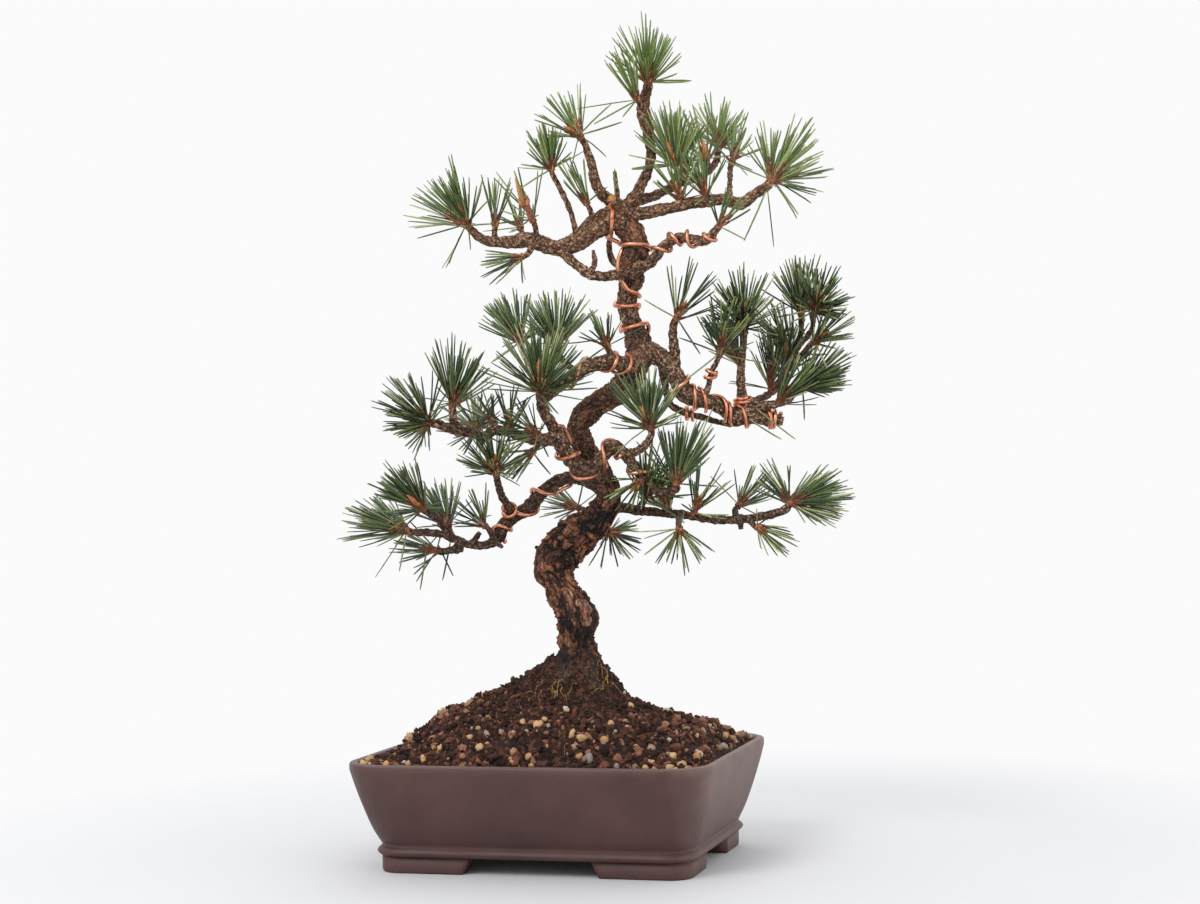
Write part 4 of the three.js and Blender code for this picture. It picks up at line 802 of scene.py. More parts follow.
# Tree: trunk, limbs, twigs and stubs, grown as two pieces: the trunk with its roots, and the limbs
# with the stubs and twigs. Old bark on the trunk's foot is broken into flaky reddish plates. Higher
# up and on the limbs it is rough with small pale grains. A limb is its name and its points from the
# one that carries it: u, w, y and the radius there.
LIMBS = [
    ["trunk", [13.5, 120, 0, 15.6], [13.4, 130, 0, 14.8], [12.2, 139, -1, 12.8], [11.6, 149, -2, 12],
        [12.3, 160, -2, 13.8], [10, 169, -1, 12.4], [5, 178, 1, 10.8], [0.4, 187, 3, 11.6],
        [-1.7, 196, 5, 14], [0.8, 204, 5, 14.6], [7, 211, 4, 14.2], [15.2, 217.8, 3, 13.4],
        [24.5, 225.5, 2, 11.8], [31.8, 233.2, 1, 10.6], [35.5, 242, 1, 9.2], [34.5, 252, 1, 8.2],
        [29.5, 263, 2, 8.2], [23, 273, 4, 8], [17.5, 283, 5, 7.8], [16.5, 292, 5, 7.9], [22, 300, 3, 8.4],
        [32, 307.5, 0, 8.8], [43, 314, -3, 8.8], [51.5, 322, -4, 8.7], [57, 331, -3, 8.9],
        [60, 341, 0, 9.2], [58.5, 351, 3, 8.6], [55, 362, 5, 6.8], [52, 374, 6, 6.2], [53, 384, 6, 7],
        [55.5, 393, 5, 8.8], [57.5, 403, 3, 8.6], [60, 411, 1, 7.4], [56.5, 421, 0, 8.6], [52, 431, 0, 9],
        [50, 441, 0, 6.4]],
    ["apex", [52, 438, 0, 4.2], [59.3, 446.5, 0, 3.8], [65, 457, 2, 3.5], [69.5, 467, 4, 3.5],
        [71, 478, 5, 3.7], [69.5, 490, 4, 4.2], [67, 501, 2, 4.6], [67, 510, 0, 4.2], [70, 520, -2, 3.2]],
    ["crown_left", [49, 437, 0, 5], [38, 448, -4, 4], [33.5, 456, -6, 3.6], [31, 467, -6, 3.2],
        [28.5, 477, -4, 2.8], [26, 484, -4, 2.3]],
    ["left_limb", [50, 434, 0, 8], [34, 428, -3, 8.3], [20, 417.5, -4, 7.1], [8, 413, -4, 5.6],
        [-3, 415.5, -2, 5.2], [-13, 419, 1, 5.8], [-25, 418.2, 4, 4], [-35, 418, 6, 3.5],
        [-43, 419.5, 6, 3.2], [-51, 426, 5, 2.8]],
    ["left_strut", [55, 396, 2, 4.6], [45, 393.8, -8, 3.4], [36, 393.2, -12, 3.3], [27, 395.2, -13, 3.3],
        [19, 401, -11, 3.3], [10, 409, -6, 3.3]],
    ["left_hook", [27, 394, -13, 2.6], [31, 403, -17, 2], [30, 411, -19, 1.4]],
    ["back_twig", [55, 396, 5, 3.4], [43, 404, 14, 2.2], [41, 414, 17, 2], [43, 423, 19, 1.4]],
    ["upper_right", [52, 435, 0, 5.3], [63, 434.8, -4, 4.5], [74, 437, -6, 4], [85, 438.5, -5, 3.9],
        [96, 441, -3, 4], [108, 442, 0, 3.9], [120, 443, 2, 3.8], [131, 440, 4, 3.9], [141, 446, 4, 3.5],
        [149, 451, 3, 3.4]],
    ["upper_right_two", [58, 443, 0, 4.4], [70, 446, 8, 3.6], [82, 451, 13, 3.1], [93, 456, 17, 2.9],
        [104, 459, 20, 2.7], [113, 466, 22, 2.4], [117, 476, 25, 2.1]],
    ["upper_right_low", [57, 398, 2, 5], [68, 401, -6, 3.7], [78, 412.3, -8, 3.5], [88, 418, -8, 3.4],
        [98, 416.5, -8, 3.3], [107, 416, -9, 3], [113, 422, -10, 2.4]],
    ["right_limb", [58, 341, 0, 8], [70, 339, -3, 6.6], [79, 332, -5, 6.3], [85, 322, -6, 6.3],
        [90, 312.5, -6, 6.4], [99, 308, -5, 6], [109, 305, -3, 4.8], [117, 299.5, 0, 4.6],
        [127, 295.5, 2, 5], [138, 295, 3, 5], [148, 293.5, 4, 4.8], [156, 291.5, 4, 3]],
    ["right_knee", [87, 318, -6, 4.5], [84, 328, -6, 3.8], [83.5, 340, -5, 3.6], [83, 351, -4, 3.1],
        [83.5, 360, -4, 2.6]],
    ["right_post", [129, 296, 2, 5], [129, 305, 0, 4.4], [128, 316, -2, 3], [128.5, 330, -3, 2.8],
        [130, 343, -4, 2.6], [131, 353, -4, 2.2]],
    ["right_rear", [128, 303, 0, 4], [137, 306, 6, 2.9], [148, 311, 13, 2.6], [157, 322, 18, 2.5],
        [164, 336, 20, 2.4], [169, 349, 21, 2.2], [170, 361, 22, 2]],
    ["right_tip", [132, 301, 0, 4.4], [142, 302.5, -2, 3.2], [152, 303.5, -4, 2.9], [160, 307, -5, 2.8],
        [166, 312.5, -6, 2.3]],
    ["right_under", [74, 336, -4, 3], [76, 320, 5, 2.6], [80, 305, 9, 2.3], [90, 299, 9, 2.3],
        [101, 296, 8, 2.2], [111, 292.5, 6, 2.2], [121, 291, 4, 2.2], [131, 292, 2, 2.2]],
    ["right_peg", [101, 308, -5, 3], [106, 317, -9, 2.1], [108, 326, -12, 2], [113, 335, -14, 1.8]],
    ["middle_left", [57, 332, -3, 6.5], [48, 333, -10, 5.2], [39, 335.5, -15, 4.8], [29, 333.5, -17, 4.6],
        [20, 330, -17, 4.5], [12, 325, -16, 4.2], [3, 318, -15, 3.6], [-5, 311, -16, 3]],
    ["fork_left", [31, 257, 0, 6.6], [20, 262, -8, 5.6], [13, 268, -11, 5.1], [7, 276, -12, 5.2],
        [3, 285, -12, 4.9], [-1, 293, -13, 4], [-6, 302, -15, 3.6], [-8.5, 312, -18, 3.1]],
    ["fork_left_out", [3, 284, -12, 5], [-9, 283.5, -12, 3.8], [-19, 285.5, -10, 3.6],
        [-29, 289, -8, 3.5], [-40, 290.5, -5, 3.4], [-47, 286.5, -4, 3.3], [-56, 289.5, -5, 3.2],
        [-64, 291, -7, 3.2], [-72, 293, -8, 3.2], [-79, 296, -8, 2.8]],
    ["left_peg", [-64, 291, -7, 3.4], [-67.5, 298, -12, 2.8], [-68, 306, -15, 2.5]],
    ["fork_right", [20, 262, -8, 5], [28, 265.5, -12, 4.3], [34, 272, -14, 4.2], [41, 277.5, -15, 4.4],
        [47, 273, -15, 4], [53, 265, -15, 3.6], [59, 257, -14, 3.5], [65, 250, -13, 3.4],
        [73, 246, -12, 3.1], [81, 247, -12, 2.8]],
    ["centre_peg", [42, 277, -15, 3.6], [51, 273, -20, 2.8], [58.5, 275, -24, 2.7], [64, 280, -27, 2.7],
        [66.5, 286, -29, 2.5]],
    ["lower_left", [33, 250, 1, 6.4], [20, 256, 3, 4.9], [10, 257.5, 5, 4.3], [0, 253.5, 6, 4.4],
        [-9, 248, 6, 4.4], [-15.5, 240.5, 5, 4.5], [-22.5, 235, 4, 4.5], [-30, 230.5, 3, 4.5],
        [-36, 225.5, 2, 4.4], [-38.5, 219, 1, 4], [-43.5, 214.5, 0, 3.2], [-51.5, 213, -1, 2.8],
        [-60.5, 214, -2, 2.7], [-68.5, 217.5, -3, 2.7], [-77, 221, -4, 2.7], [-87, 222.5, -5, 2.7],
        [-97, 223, -5, 2.5]],
    ["lower_left_post", [-31, 230, 3, 3.4], [-31.5, 238, -4, 2.6], [-36, 245, -10, 2.5],
        [-38, 252, -14, 2.4], [-39.5, 259, -17, 2.2]],
    ["lower_left_rise", [-72, 219, -3, 2.7], [-79, 230, -7, 2.4], [-87, 236.5, -10, 2.2]],
    ["lower_left_drop", [-63, 215, -2, 2.7], [-69, 211, 4, 2.5], [-78, 209.5, 7, 2.4]],
    ["lower_right", [33, 236, 1, 6], [45, 236, 8, 3.4], [55, 234, 10, 3.2], [66, 232.5, 8, 3],
        [77, 231, 4, 2.9], [88, 230, 1, 2.8], [100, 227.5, 0, 2.8], [111, 226, 0, 2.8],
        [123, 226, 0, 2.9], [135, 227, 0, 2.8], [147, 229, 0, 2.8], [157, 232, 0, 2.6]],
]

# Short cut-back stubs and old shoots with no needles: from, to and the radius at each end.
STUBS = [
    [[50, 438, 0], [43.5, 446, -12], 3.6, 3.1],
    [[48, 440, 0], [46, 464, -8], 2, 1.4],
    [[124, 226, 0], [125.5, 219.5, 1], 2.4, 1.8],
    [[-47, 287, -4], [-50, 280, -5], 2.2, 1.5],
    [[-41, 215, 0], [-37, 211.5, -2], 2.4, 1.6],
    [[-57, 214, -2], [-52, 221.5, -4], 2.4, 1.9],
    [[-68, 211, 4], [-64, 211.5, 3], 3.2, 2.8],
    [[-1, 205, 5], [-14.6, 211, 2], 2, 1.2],
]

# Where the sprays stand: a name and its shoots, each with the twig from the limb, the bud's tip,
# and the needles' count, length and spread.
SPRAYS = [
    ["apex", [[[70, 520, -2]], [68.5, 537, -4], 17, 35, 66]],
    ["apex_left", [[[67, 506, 0], [64, 509, -4]], [60, 520, -8], 11, 37, 28]],
    ["crown_left",
        [[[26, 484, -4]], [20, 501, 0], 10, 31, 32],
        [[[26, 484, -4]], [12, 496, -11], 9, 30, 34]],
    ["crown_low",
        [[[20, 417, -4], [16, 436, -12], [9, 453, -15], [4, 463, -15]], [1, 475, -16], 13, 24, 50]],
    ["crown_side", [[[33, 428, -3], [28, 440, -13]], [23, 451, -17], 9, 27, 36]],
    ["far_left",
        [[[-51, 426, 5]], [-61, 446, 0], 13, 36, 42],
        [[[-51, 426, 5]], [-72, 440, 8], 12, 40, 34]],
    ["left_rise", [[[-37, 417, 6], [-36, 427, 9]], [-35, 438, 11], 10, 29, 34]],
    ["left_candle", [[[-8, 416, -1], [-9, 429, -11]], [-18, 452, -16], 12, 32, 46]],
    ["left_under", [[[-10, 417, 0], [-15, 409, -8]], [-27, 405, -13], 10, 27, 44]],
    ["left_back", [[[-19, 417, 2], [-18, 425, 22]], [-22, 437, 30], 9, 24, 52]],
    ["right_crown", [[[84, 452, 13], [88, 463, 0]], [83, 480, -6], 16, 36, 62]],
    ["right_back", [[[110, 463, 21], [109, 467, 12]], [107, 480, 8], 12, 33, 50]],
    ["right_rear_top", [[[117, 476, 25]], [114, 495, 30], 14, 32, 52]],
    ["right_crest", [[[123, 442, 3], [124, 455, 12], [125, 466, 16]], [130, 480, 18], 10, 27, 46]],
    ["right_fan",
        [[[149, 451, 3]], [151, 472, 0], 9, 35, 36],
        [[[149, 451, 3]], [166, 473, -7], 11, 35, 44],
        [[[149, 451, 3]], [171, 460, 10], 10, 32, 56]],
    ["right_low_tuft", [[[113, 422, -10]], [123, 434, -15], 9, 22, 62]],
    ["knee", [[[83.5, 360, -4]], [93, 376, -6], 14, 34, 58]],
    ["post", [[[131, 353, -4]], [132, 371, -7], 16, 34, 62]],
    ["peg", [[[113, 335, -14]], [119, 355, -20], 12, 34, 52]],
    ["rear_high", [[[170, 361, 22]], [170, 377, 28], 13, 34, 54]],
    ["rear_right", [[[166, 341, 20], [176, 352, 12], [179, 364, 7]], [185, 380, 4], 13, 28, 58]],
    ["rear_side", [[[161, 330, 19], [168, 335, 4], [176, 343, -6]], [187, 352, -11], 12, 27, 56]],
    ["tip", [[[166, 312.5, -6]], [183, 325, -10], 14, 30, 46]],
    ["centre", [[[66.5, 286, -29]], [61, 305, -34], 17, 34, 62]],
    ["outer_left",
        [[[-79, 296, -8]], [-94, 307, -11], 15, 35, 46],
        [[[-79, 296, -8]], [-92, 289, 4], 8, 31, 26]],
    ["outer_peg", [[[-68, 306, -15]], [-68, 322, -18], 16, 38, 46]],
    ["stub_back", [[[-2, 314, -15], [-14, 333, 4], [-20, 347, 12]], [-23, 362, 16], 14, 32, 56]],
    ["stub_rise", [[[17, 328, -17], [8, 337, -10], [4, 344, -8]], [3, 357, -9], 14, 32, 58]],
    ["stub_end", [[[41, 335, -14], [39, 343, -18]], [35, 354, -24], 10, 23, 52]],
    ["stub_front", [[[-8.5, 312, -18]], [-8.5, 332, -26], 18, 42, 66]],
    ["fork_side", [[[-4, 284, -12], [-9, 286, -20]], [-19, 294, -28], 12, 30, 52]],
    ["fork_low", [[[-10, 283, -12], [-12, 278, -7]], [-20, 271, -5], 9, 22, 44]],
    ["fork_bud", [[[-38, 290, -5], [-40, 295, -2]], [-44, 302, 2], 9, 18, 50]],
    ["fork_back", [[[-50, 287, -4], [-52, 290, 8]], [-55, 297, 22], 13, 32, 58]],
    ["low_post", [[[-39.5, 259, -17]], [-40, 275, -22], 15, 30, 66]],
    ["low_rise", [[[-87, 236.5, -10]], [-99, 247, -16], 17, 33, 62]],
    ["low_tip", [[[-97, 223, -5]], [-121, 228.5, -6], 18, 37, 54]],
    ["low_drop", [[[-78, 209.5, 7]], [-92, 212.5, 11], 12, 29, 44]],
    ["low_bud", [[[-41, 215, 0], [-46, 224, -9]], [-54, 232, -15], 10, 27, 46]],
    ["low_back", [[[-70, 218, -3], [-72, 224, 12]], [-76, 236, 20], 13, 30, 52]],
    ["trunk_left", [[[27, 229, 2], [18, 236, 24]], [4, 240, 32], 12, 25, 50]],
    ["trunk_right", [[[28, 227, 2], [34, 221, 18]], [40, 216, 27], 13, 26, 64]],
    ["fork_end", [[[81, 247, -12]], [88, 268, -17], 16, 34, 60]],
    ["low_right", [[[55, 234, 10], [60, 240, 0]], [65, 252, -5], 14, 32, 66]],
    ["low_hang", [[[84, 230, 2], [83, 224, -12]], [85, 213, -18], 15, 28, 74]],
    ["low_mid", [[[122, 226, 0], [122, 233, 8]], [131, 242, 13], 11, 27, 44]],
    ["low_end",
        [[[157, 232, 0]], [153, 245, -4], 9, 24, 48],
        [[[157, 232, 0]], [178, 241, -1], 14, 30, 58]],
    ["low_stub", [[[131, 226.5, 0], [134, 222, -3]], [144, 216, -7], 9, 25, 36]],
]

# Each surface root goes from the trunk's foot out and down into the soil: u, w, y and radius.
ROOTS = [
    [[17, 140, -1, 9.5], [20, 133, -3, 8.5], [25, 126, -5, 6.5], [30, 116, -8, 4]],
    [[11, 138, -3, 11], [7, 129, -6, 9], [3, 120, -9, 6], [-1, 110, -12, 3]],
    [[9, 136, 2, 10], [1, 129, 5, 8], [-6, 121, 8, 5], [-12, 112, 10, 3]],
    [[14, 138, 4, 10], [17, 129, 9, 8], [20, 120, 14, 5], [23, 110, 18, 3]],
    [[16, 136, -4, 9], [19, 128, -8, 7.5], [22, 119, -12, 5], [26, 110, -16, 2.4]],
]
PLACES_SEARCHED = 121
COLLAR = 2.6
TWIG_RADIUS = 1.9
TWIG_SWELL = 1.35
FLARE = {"share": 0.32, "reach": 1.2}
PATTERN_SHIFT = 97.0
PLATE_STRETCH = np.array([1, 1, 0.4])
TEARS = [(2.2, 1.1, (5, 6, 7)), (8, 3, (15, 16, 17))]
YOUNG_RADIUS = 3.5
OLD_GROWTH = 9
PLATES = {"size": 6.4, "width": 0.18, "seed": 51}
FLAKES = {"size": 2.7, "width": 0.24, "seed": 61}
GRAINS = {"size": 1.9, "width": 0.5, "seed": 81}

# Bark is sampled at steps along a limb and round it, in mm, and within limits of columns.
BARK_STEPS = {"trunk": (0.64, 0.64), "roots": (1.1, 1.1), "limbs": (1.15, 1.05), "twigs": (1.3, 1.1)}
BARK_COLUMNS = (9, 170)
AGE = {"trunk": 1.0, "roots": 1.2, "limbs": 0.35}

# The bark changes with height, between two levels in metres: redder up in the crown, darker low
# on the limbs, and darker where the trunk comes out of the soil.
RED_CROWN = (0.38, 0.44)
DARK_LIMBS = (0.286, 0.25)
DARK_FOOT = (0.165, 0.122)


def grown_curve(points, radii):
    """A limb's smooth curve: its places, their share of the points' numbering, their distance
    along it, and the radius at each."""
    places, index = smooth_curve(points)
    along = np.concatenate([[0], np.cumsum(np.linalg.norm(np.diff(places, axis=0), axis=1))])
    radius = np.interp(index, np.arange(len(radii)), radii)
    return {"places": places, "index": index, "along": along, "radius": radius}


def on_limb(limb, far, measure):
    """Places on a limb's middle, so far along it by a measure: its points' index, or along it."""
    return np.stack([np.interp(far, limb[measure], axis) for axis in limb["places"].T], axis=1)


def stepped(limb, count):
    """Places, radii and distances at even distances along a limb."""
    even = np.linspace(0, limb["along"][-1], count)
    return on_limb(limb, even, "along"), np.interp(even, limb["along"], limb["radius"]), even


def nearest_on_tree(place):
    """The nearest place on the middle of any limb grown so far."""
    middles = np.vstack([stepped(limb, PLACES_SEARCHED)[0] for limb in grown.values()])
    return middles[np.argmin(np.linalg.norm(middles - place, axis=1))]


def way_out(shoots):
    """The direction in which a spray leaves the tree: the mean of its shoots."""
    ways = np.array([spot(shoot[1]) - spot(shoot[0][-1]) for shoot in shoots])
    return unit(unit(ways).sum(0))


def grow(points, shoots=None):
    """A limb whose first point is moved onto the limb that carries it, and which goes on as a
    short collar where a spray leaves its end."""
    places = spot(points)
    radii = [point[3] for point in points]
    if shoots is not None:
        places = np.vstack([places, places[-1] + COLLAR * way_out(shoots)])
        radii.append(radii[-1])
    if grown:
        places[0] = nearest_on_tree(places[0])
    return grown_curve(places, radii)


grown = {}
for name, *points in LIMBS:
    carried_sprays = [s[1:] for s in SPRAYS if len(s[1][0]) == 1 and s[1][0][0] == points[-1][:3]]
    grown[name] = grow(points, *carried_sprays[:1])
trunk = grown["trunk"]
branches = [limb for name, limb in grown.items() if name != "trunk"]
stubs = [grow([[*start, radius], [*end, tip]]) for start, end, radius, tip in STUBS]
twigs = []
for _, *shoots in SPRAYS:
    twig = shoots[0][0]
    if len(twig) > 1:
        swollen = [[*point, TWIG_RADIUS * (TWIG_SWELL if i == 0 else 1)] for i, point in enumerate(twig)]
        twigs.append(grow(swollen, shoots))
surface_roots = [grown_curve(spot(points), [point[3] for point in points]) for points in ROOTS]


def cracked(places, size, width, seed):
    """Clumps of a size: each one's own random number, its rise, and 0 in the cracks up to 1."""
    nearest, second, own, rise = clumps(places, size, seed)
    return own, rise, np.clip((second - nearest) / width, 0, 1)


def bark_skin(limb, ring_step, side_step, seed, flared=True, oldness=AGE["limbs"]):
    """A limb's bark: rings round its curve, swollen where it leaves its carrier.

    Old, thick bark stands up in torn plates and flakes with cracks between them, drawn out along
    the limb. Each plate and flake has its own random height and a slope, and falls in its crack.
    Young bark has small grains. The share of each follows the radius, and both are laid on a
    cylinder's own coordinates, so they have no seam.
    """
    rows = max(6, round(limb["along"][-1] / ring_step))
    middles, radius, along = stepped(limb, rows)
    if flared:
        reach = FLARE["reach"] * radius[0]
        radius = radius * (1 + FLARE["share"] * np.exp(-((along / reach) ** 2)))
    columns = int(np.clip(2 * math.pi * radius.mean() / side_step, *BARK_COLUMNS))
    turn = turns(columns)
    round_x = radius[:, None] * np.cos(turn)
    round_y = radius[:, None] * np.sin(turn)
    level = np.broadcast_to(along[:, None], round_x.shape)
    bark = np.stack([round_x, round_y, level], axis=-1).reshape(-1, 3) + seed * PATTERN_SHIFT
    thick = radius.repeat(columns)
    age = oldness * np.clip((thick - YOUNG_RADIUS) / OLD_GROWTH, 0, 1)
    drawn_out = bark * PLATE_STRETCH
    torn = drawn_out
    for size, push, seeds in TEARS:
        torn = torn + push * np.stack([swell(bark, size, each) for each in seeds], axis=1)
    plate, rise, crack = cracked(torn, **PLATES)
    flake, flake_rise, flake_crack = cracked(torn, **FLAKES)
    grain, _, grain_crack = cracked(drawn_out, **GRAINS)
    plates = (0.6 + 1.3 * plate) * (crack - 0.5) + 1.4 * (plate - 0.6) - 0.4 * rise
    plates += 0.7 * (flake_crack - 0.7) + 1.2 * (flake - 0.5) - 0.3 * flake_rise - 0.5
    plates += 0.45 * (grain_crack - 0.5)
    grains = 1.2 * (grain_crack - 0.5) + 0.7 * (grain - 0.5)
    slim = np.clip(thick / 3, 0.3, 1)
    relief = plates * np.clip((age - 0.25) / 0.65, 0, 1) + grains * (0.7 - 0.25 * age) * slim
    relief += swell(bark, 7, 71) * (0.7 + 0.8 * age) * np.clip(thick / 6, 0.2, 1)
    relief += swell(bark, 3, 72) * 0.35 * slim
    lifted = radius[:, None] + relief.reshape(rows, columns)
    arms = spokes(*carried_sides(middles), turn)
    points, faces = closed_tube(middles[:, None] + arms * lifted[..., None])
    cracks = np.minimum(crack, 0.15 + flake_crack) * age + grain_crack * (1 - age)
    values = {
        "bark": np.vstack([bark, bark[-1:], bark[-1:]]),
        "age": np.append(age, [age[0], age[-1]]),
        "plate": np.append(0.45 * plate + 0.55 * flake, [0.5, 0.5]),
        "crack": np.append(cracks, [1, 1]),
        "height": np.append(np.clip(0.5 + plates / 5, 0, 1), [0.5, 0.5]),
        "flayed": np.zeros(len(points)),
    }
    return points, faces, pine_bark, values


def scaled(place, factors):
    """A place with each direction multiplied by its factor."""
    sockets = {0: place, 1: factors}
    return put("ShaderNodeVectorMath", sockets, operation="MULTIPLY").outputs[0]


pine_bark = new_material("pine_bark", Specular_IOR_Level=0.3)
bark_place = carried(pine_bark, "bark", "Vector")
age = carried(pine_bark, "age")
plate = carried(pine_bark, "plate")
crack = carried(pine_bark, "crack")
height = carried(pine_bark, "height")
streaks = noise(scaled(bark_place, (1, 1, 0.22)), 1.3, 5.0, 0.65)
patches = noise(bark_place, 13.0, 3.0)
dust = noise(bark_place, 0.5, 3.0, 0.7)
curl = put("ShaderNodeTexNoise", {"Vector": bark_place, "Scale": 0.7, "Detail": 3.0})
grain_place = put(
    "ShaderNodeVectorMath", {0: curl.outputs["Color"], 1: (3, 3, 3), 2: bark_place},
    operation="MULTIPLY_ADD",
).outputs[0]
grain_cells = cells(scaled(grain_place, (1, 1, 0.85)), 1.55)
old = ramp(
    plate,
    (0.0, (38, 27, 25)), (0.3, (72, 46, 39)), (0.5, (112, 70, 54)),
    (0.7, (168, 104, 68)), (0.85, (76, 54, 48)), (1.0, (146, 116, 100)),
)
# Painted shade and highlight: the bark goes near black where its relief sinks, and raised plates are
# lightened.
old = tinted(old, height, (0.47, 0.26), (0.0, 0.95), (15, 11, 11))
old = tinted(old, height, (0.58, 0.75), (0.0, 0.5), (168, 130, 112))
old = tinted(old, streaks, (0.5, 0.58), (0.0, 0.7), (30, 22, 21))
old = tinted(old, patches, (0.58, 0.7), (0.0, 0.35), (140, 84, 56))
old = tinted(old, patches, (0.43, 0.34), (0.0, 0.75), (28, 22, 22))
old = tinted(old, dust, (0.58, 0.68), (0.0, 0.6), (178, 146, 124))
flayed = carried(pine_bark, "flayed")
fibres = noise(scaled(bark_place, (1, 1, 0.12)), 0.9, 4.0, 0.6)
fresh = ramp(
    fibres,
    (0.36, (232, 194, 168)), (0.47, (168, 106, 78)), (0.6, (78, 46, 37)),
)
old = tinted(old, flayed, (0.1, 0.9), (0.0, 0.85), fresh)
# Below 0 the value paints black bark, which is partly dark patches and partly painted shade.
old = tinted(old, flayed, (-0.9, -0.1), (0.85, 0.0), (22, 19, 20))
young = mixed(
    between(grain_cells, 0.22, 0.62), (226, 188, 154), (92, 62, 47),
)
level = put("ShaderNodeSeparateXYZ", {0: object_place(pine_bark)}).outputs["Z"]
young = tinted(young, level, RED_CROWN, (0.0, 0.22), (158, 98, 60))
low_down = between(level, *DARK_LIMBS)
low_down = worked("MULTIPLY", low_down, between(patches, 0.35, 0.6, 1.0, 0.5))
young = tinted(young, patches, (0.4, 0.62), (0.0, 0.45), (128, 92, 70))
young = mixed(worked("MULTIPLY", low_down, 0.8), young, (66, 47, 40))
whole = mixed(between(age, 0.25, 0.72), young, old)
whole = tinted(whole, level, DARK_FOOT, (0.0, 0.5), (34, 24, 21))
whole = tinted(whole, crack, (0.0, 0.6), (0.95, 0.0), (18, 12, 11))
cut_wood = ramp(fibres, (0.35, (222, 168, 104)), (0.65, (178, 112, 58)))
whole = mixed(between(flayed, 1.2, 1.6), whole, cut_wood)
bark_normal = raised(streaks, 0.0018, 0.9)
bark_normal = raised(grain_cells, 0.0009, 0.8, bark_normal)
coat(
    pine_bark, Base_Color=whole, Normal=bark_normal,
    Roughness=between(streaks, *NOISE_SPAN, 0.75, 0.95),
)

# Where old plates have come off the trunk, the fresh bark is pale. The black places are partly dark
# patches on the bark and partly painted shade, on the trunk's right edge and its back. Each place has
# u, w, y, a reach, and a strength that is below 0 for a black one.
FLAYED_DARK_AND_SHADE = [
    [7, 180, -12, 8, 1.2], [2, 186, -12, 6, 0.9], [12, 172, -12, 6, 0.8], [-10, 206, -6, 6, 0.8],
    [-8, 199, -10, 5, 0.6], [11, 136, -14, 5, 0.8], [25, 231, -9, 5, 0.7], [16, 163, -14, 5, 0.5],
    [8, 214, -12, 7, -1.1], [4, 197, -11, 8, -1.2], [20, 127, -14, 9, -0.9], [21, 148, -10, 7, -0.9],
    [36, 231, -6, 6, -0.8], [-2, 170, 10, 8, -0.8], [14, 205, 14, 9, -0.9], [22, 242, 8, 7, -0.6],
    [-13, 197, -3, 6, 0.75], [27, 220, -10, 5, 0.6], [11.5, 136, -13, 3.5, 0.9], [5, 160, -13, 6, 0.5],
    [13, 159, -13, 5, 0.5], [0, 192, -9, 6, -0.8], [20, 133, -10, 6, -0.8], [4, 130, -10, 6, -0.6],
]
ROOT_DARKNESS = -0.5

# Where a branch was cut off, the end's wood is bare: u, w, y and the bare wood's radius.
CUTS = [[43.5, 446, -12, 2.7]]
CUT_MARK = 2


def flayed_dark_and_shade_share(points):
    """How far fresh bark shows, or, below 0, black bark that is partly painted shade: each place falls
    off as a bell with distance, and they add up."""
    centres = spot(FLAYED_DARK_AND_SHADE)
    reach, strength = np.array(FLAYED_DARK_AND_SHADE)[:, 3], np.array(FLAYED_DARK_AND_SHADE)[:, 4]
    far = np.linalg.norm(points[:, None] - centres[None], axis=2)
    return np.clip((strength * np.exp(-((far / reach) ** 2))).sum(1), -1, 1)


def cut_share(points):
    """How far a cut's bare wood shows: 1 within its radius, and down to 0 at 1.5 times as far."""
    far = np.linalg.norm(points[:, None] - spot(CUTS)[None], axis=2)
    return np.clip(3 - 2 * far / np.array(CUTS)[:, 3], 0, 1).max(1)


trunk_parts = [bark_skin(trunk, *BARK_STEPS["trunk"], 1, False, AGE["trunk"])]
for i, root in enumerate(surface_roots):
    trunk_parts.append(bark_skin(root, *BARK_STEPS["roots"], 40 + i, False, AGE["roots"]))
    trunk_parts[-1][3]["flayed"] += ROOT_DARKNESS
trunk_points, *_, trunk_values = trunk_parts[0]
trunk_values["flayed"] = flayed_dark_and_shade_share(trunk_points)
add_piece("tree_trunk", trunk_parts, ["tree"])
limb_parts = [bark_skin(limb, *BARK_STEPS["limbs"], 2 + i) for i, limb in enumerate(branches)]
limb_parts += [bark_skin(limb, *BARK_STEPS["twigs"], 60 + i) for i, limb in enumerate(stubs + twigs)]
for points, *_, values in limb_parts:
    values["flayed"] = CUT_MARK * cut_share(points)
add_piece("tree_limbs", limb_parts, ["tree"])

# Sprays: leafy shoots of the year. Each is a slim brown shoot with scars of old scales, set all
# round with stiff dark green needles in pairs, out of short pale sheaths, and ends in a bud.
NEEDLE = {
    "width": 1.5, "thick": 1.05, "rings": [0, 0.05, 0.4, 0.8, 0.965],
    "widths": [0.6, 0.85, 1.0, 0.92, 0.62], "starts": 1.5,
}
SHEATH = {"sides": 5, "far": [-0.6, 2.2, 4.6], "wide": [1.0, 1.05, 0.85]}
GOLDEN_ANGLE = math.radians(137.5)
SIDEWAYS = [0.2, 0.9, 0.3]
SIDE_BUDS = {"turns": (0.4, 2.6, 4.4), "lean": 0.5, "size": 0.55, "out": 0.6}
STEM = {"foot": 1.1, "into_bud": 0.2}
SCALES = {"round": 5, "sunk": 0.4}
STEM_SCALES = {"scale_long": 2.2, "relief": 0.2}
FORK_SCALES = {"scale_long": 2.2, "relief": 0.15}
BUD_SCALES = {"scale_long": 1.5, "relief": 0.22}
SIDE_BUD_SCALES = {"scale_long": 1.1, "relief": 0.22, "sides": 8}
BUD_BELLY = [0.8, 1, 0.92, 0.66, 0.34]
BUD_POINT = 0.12
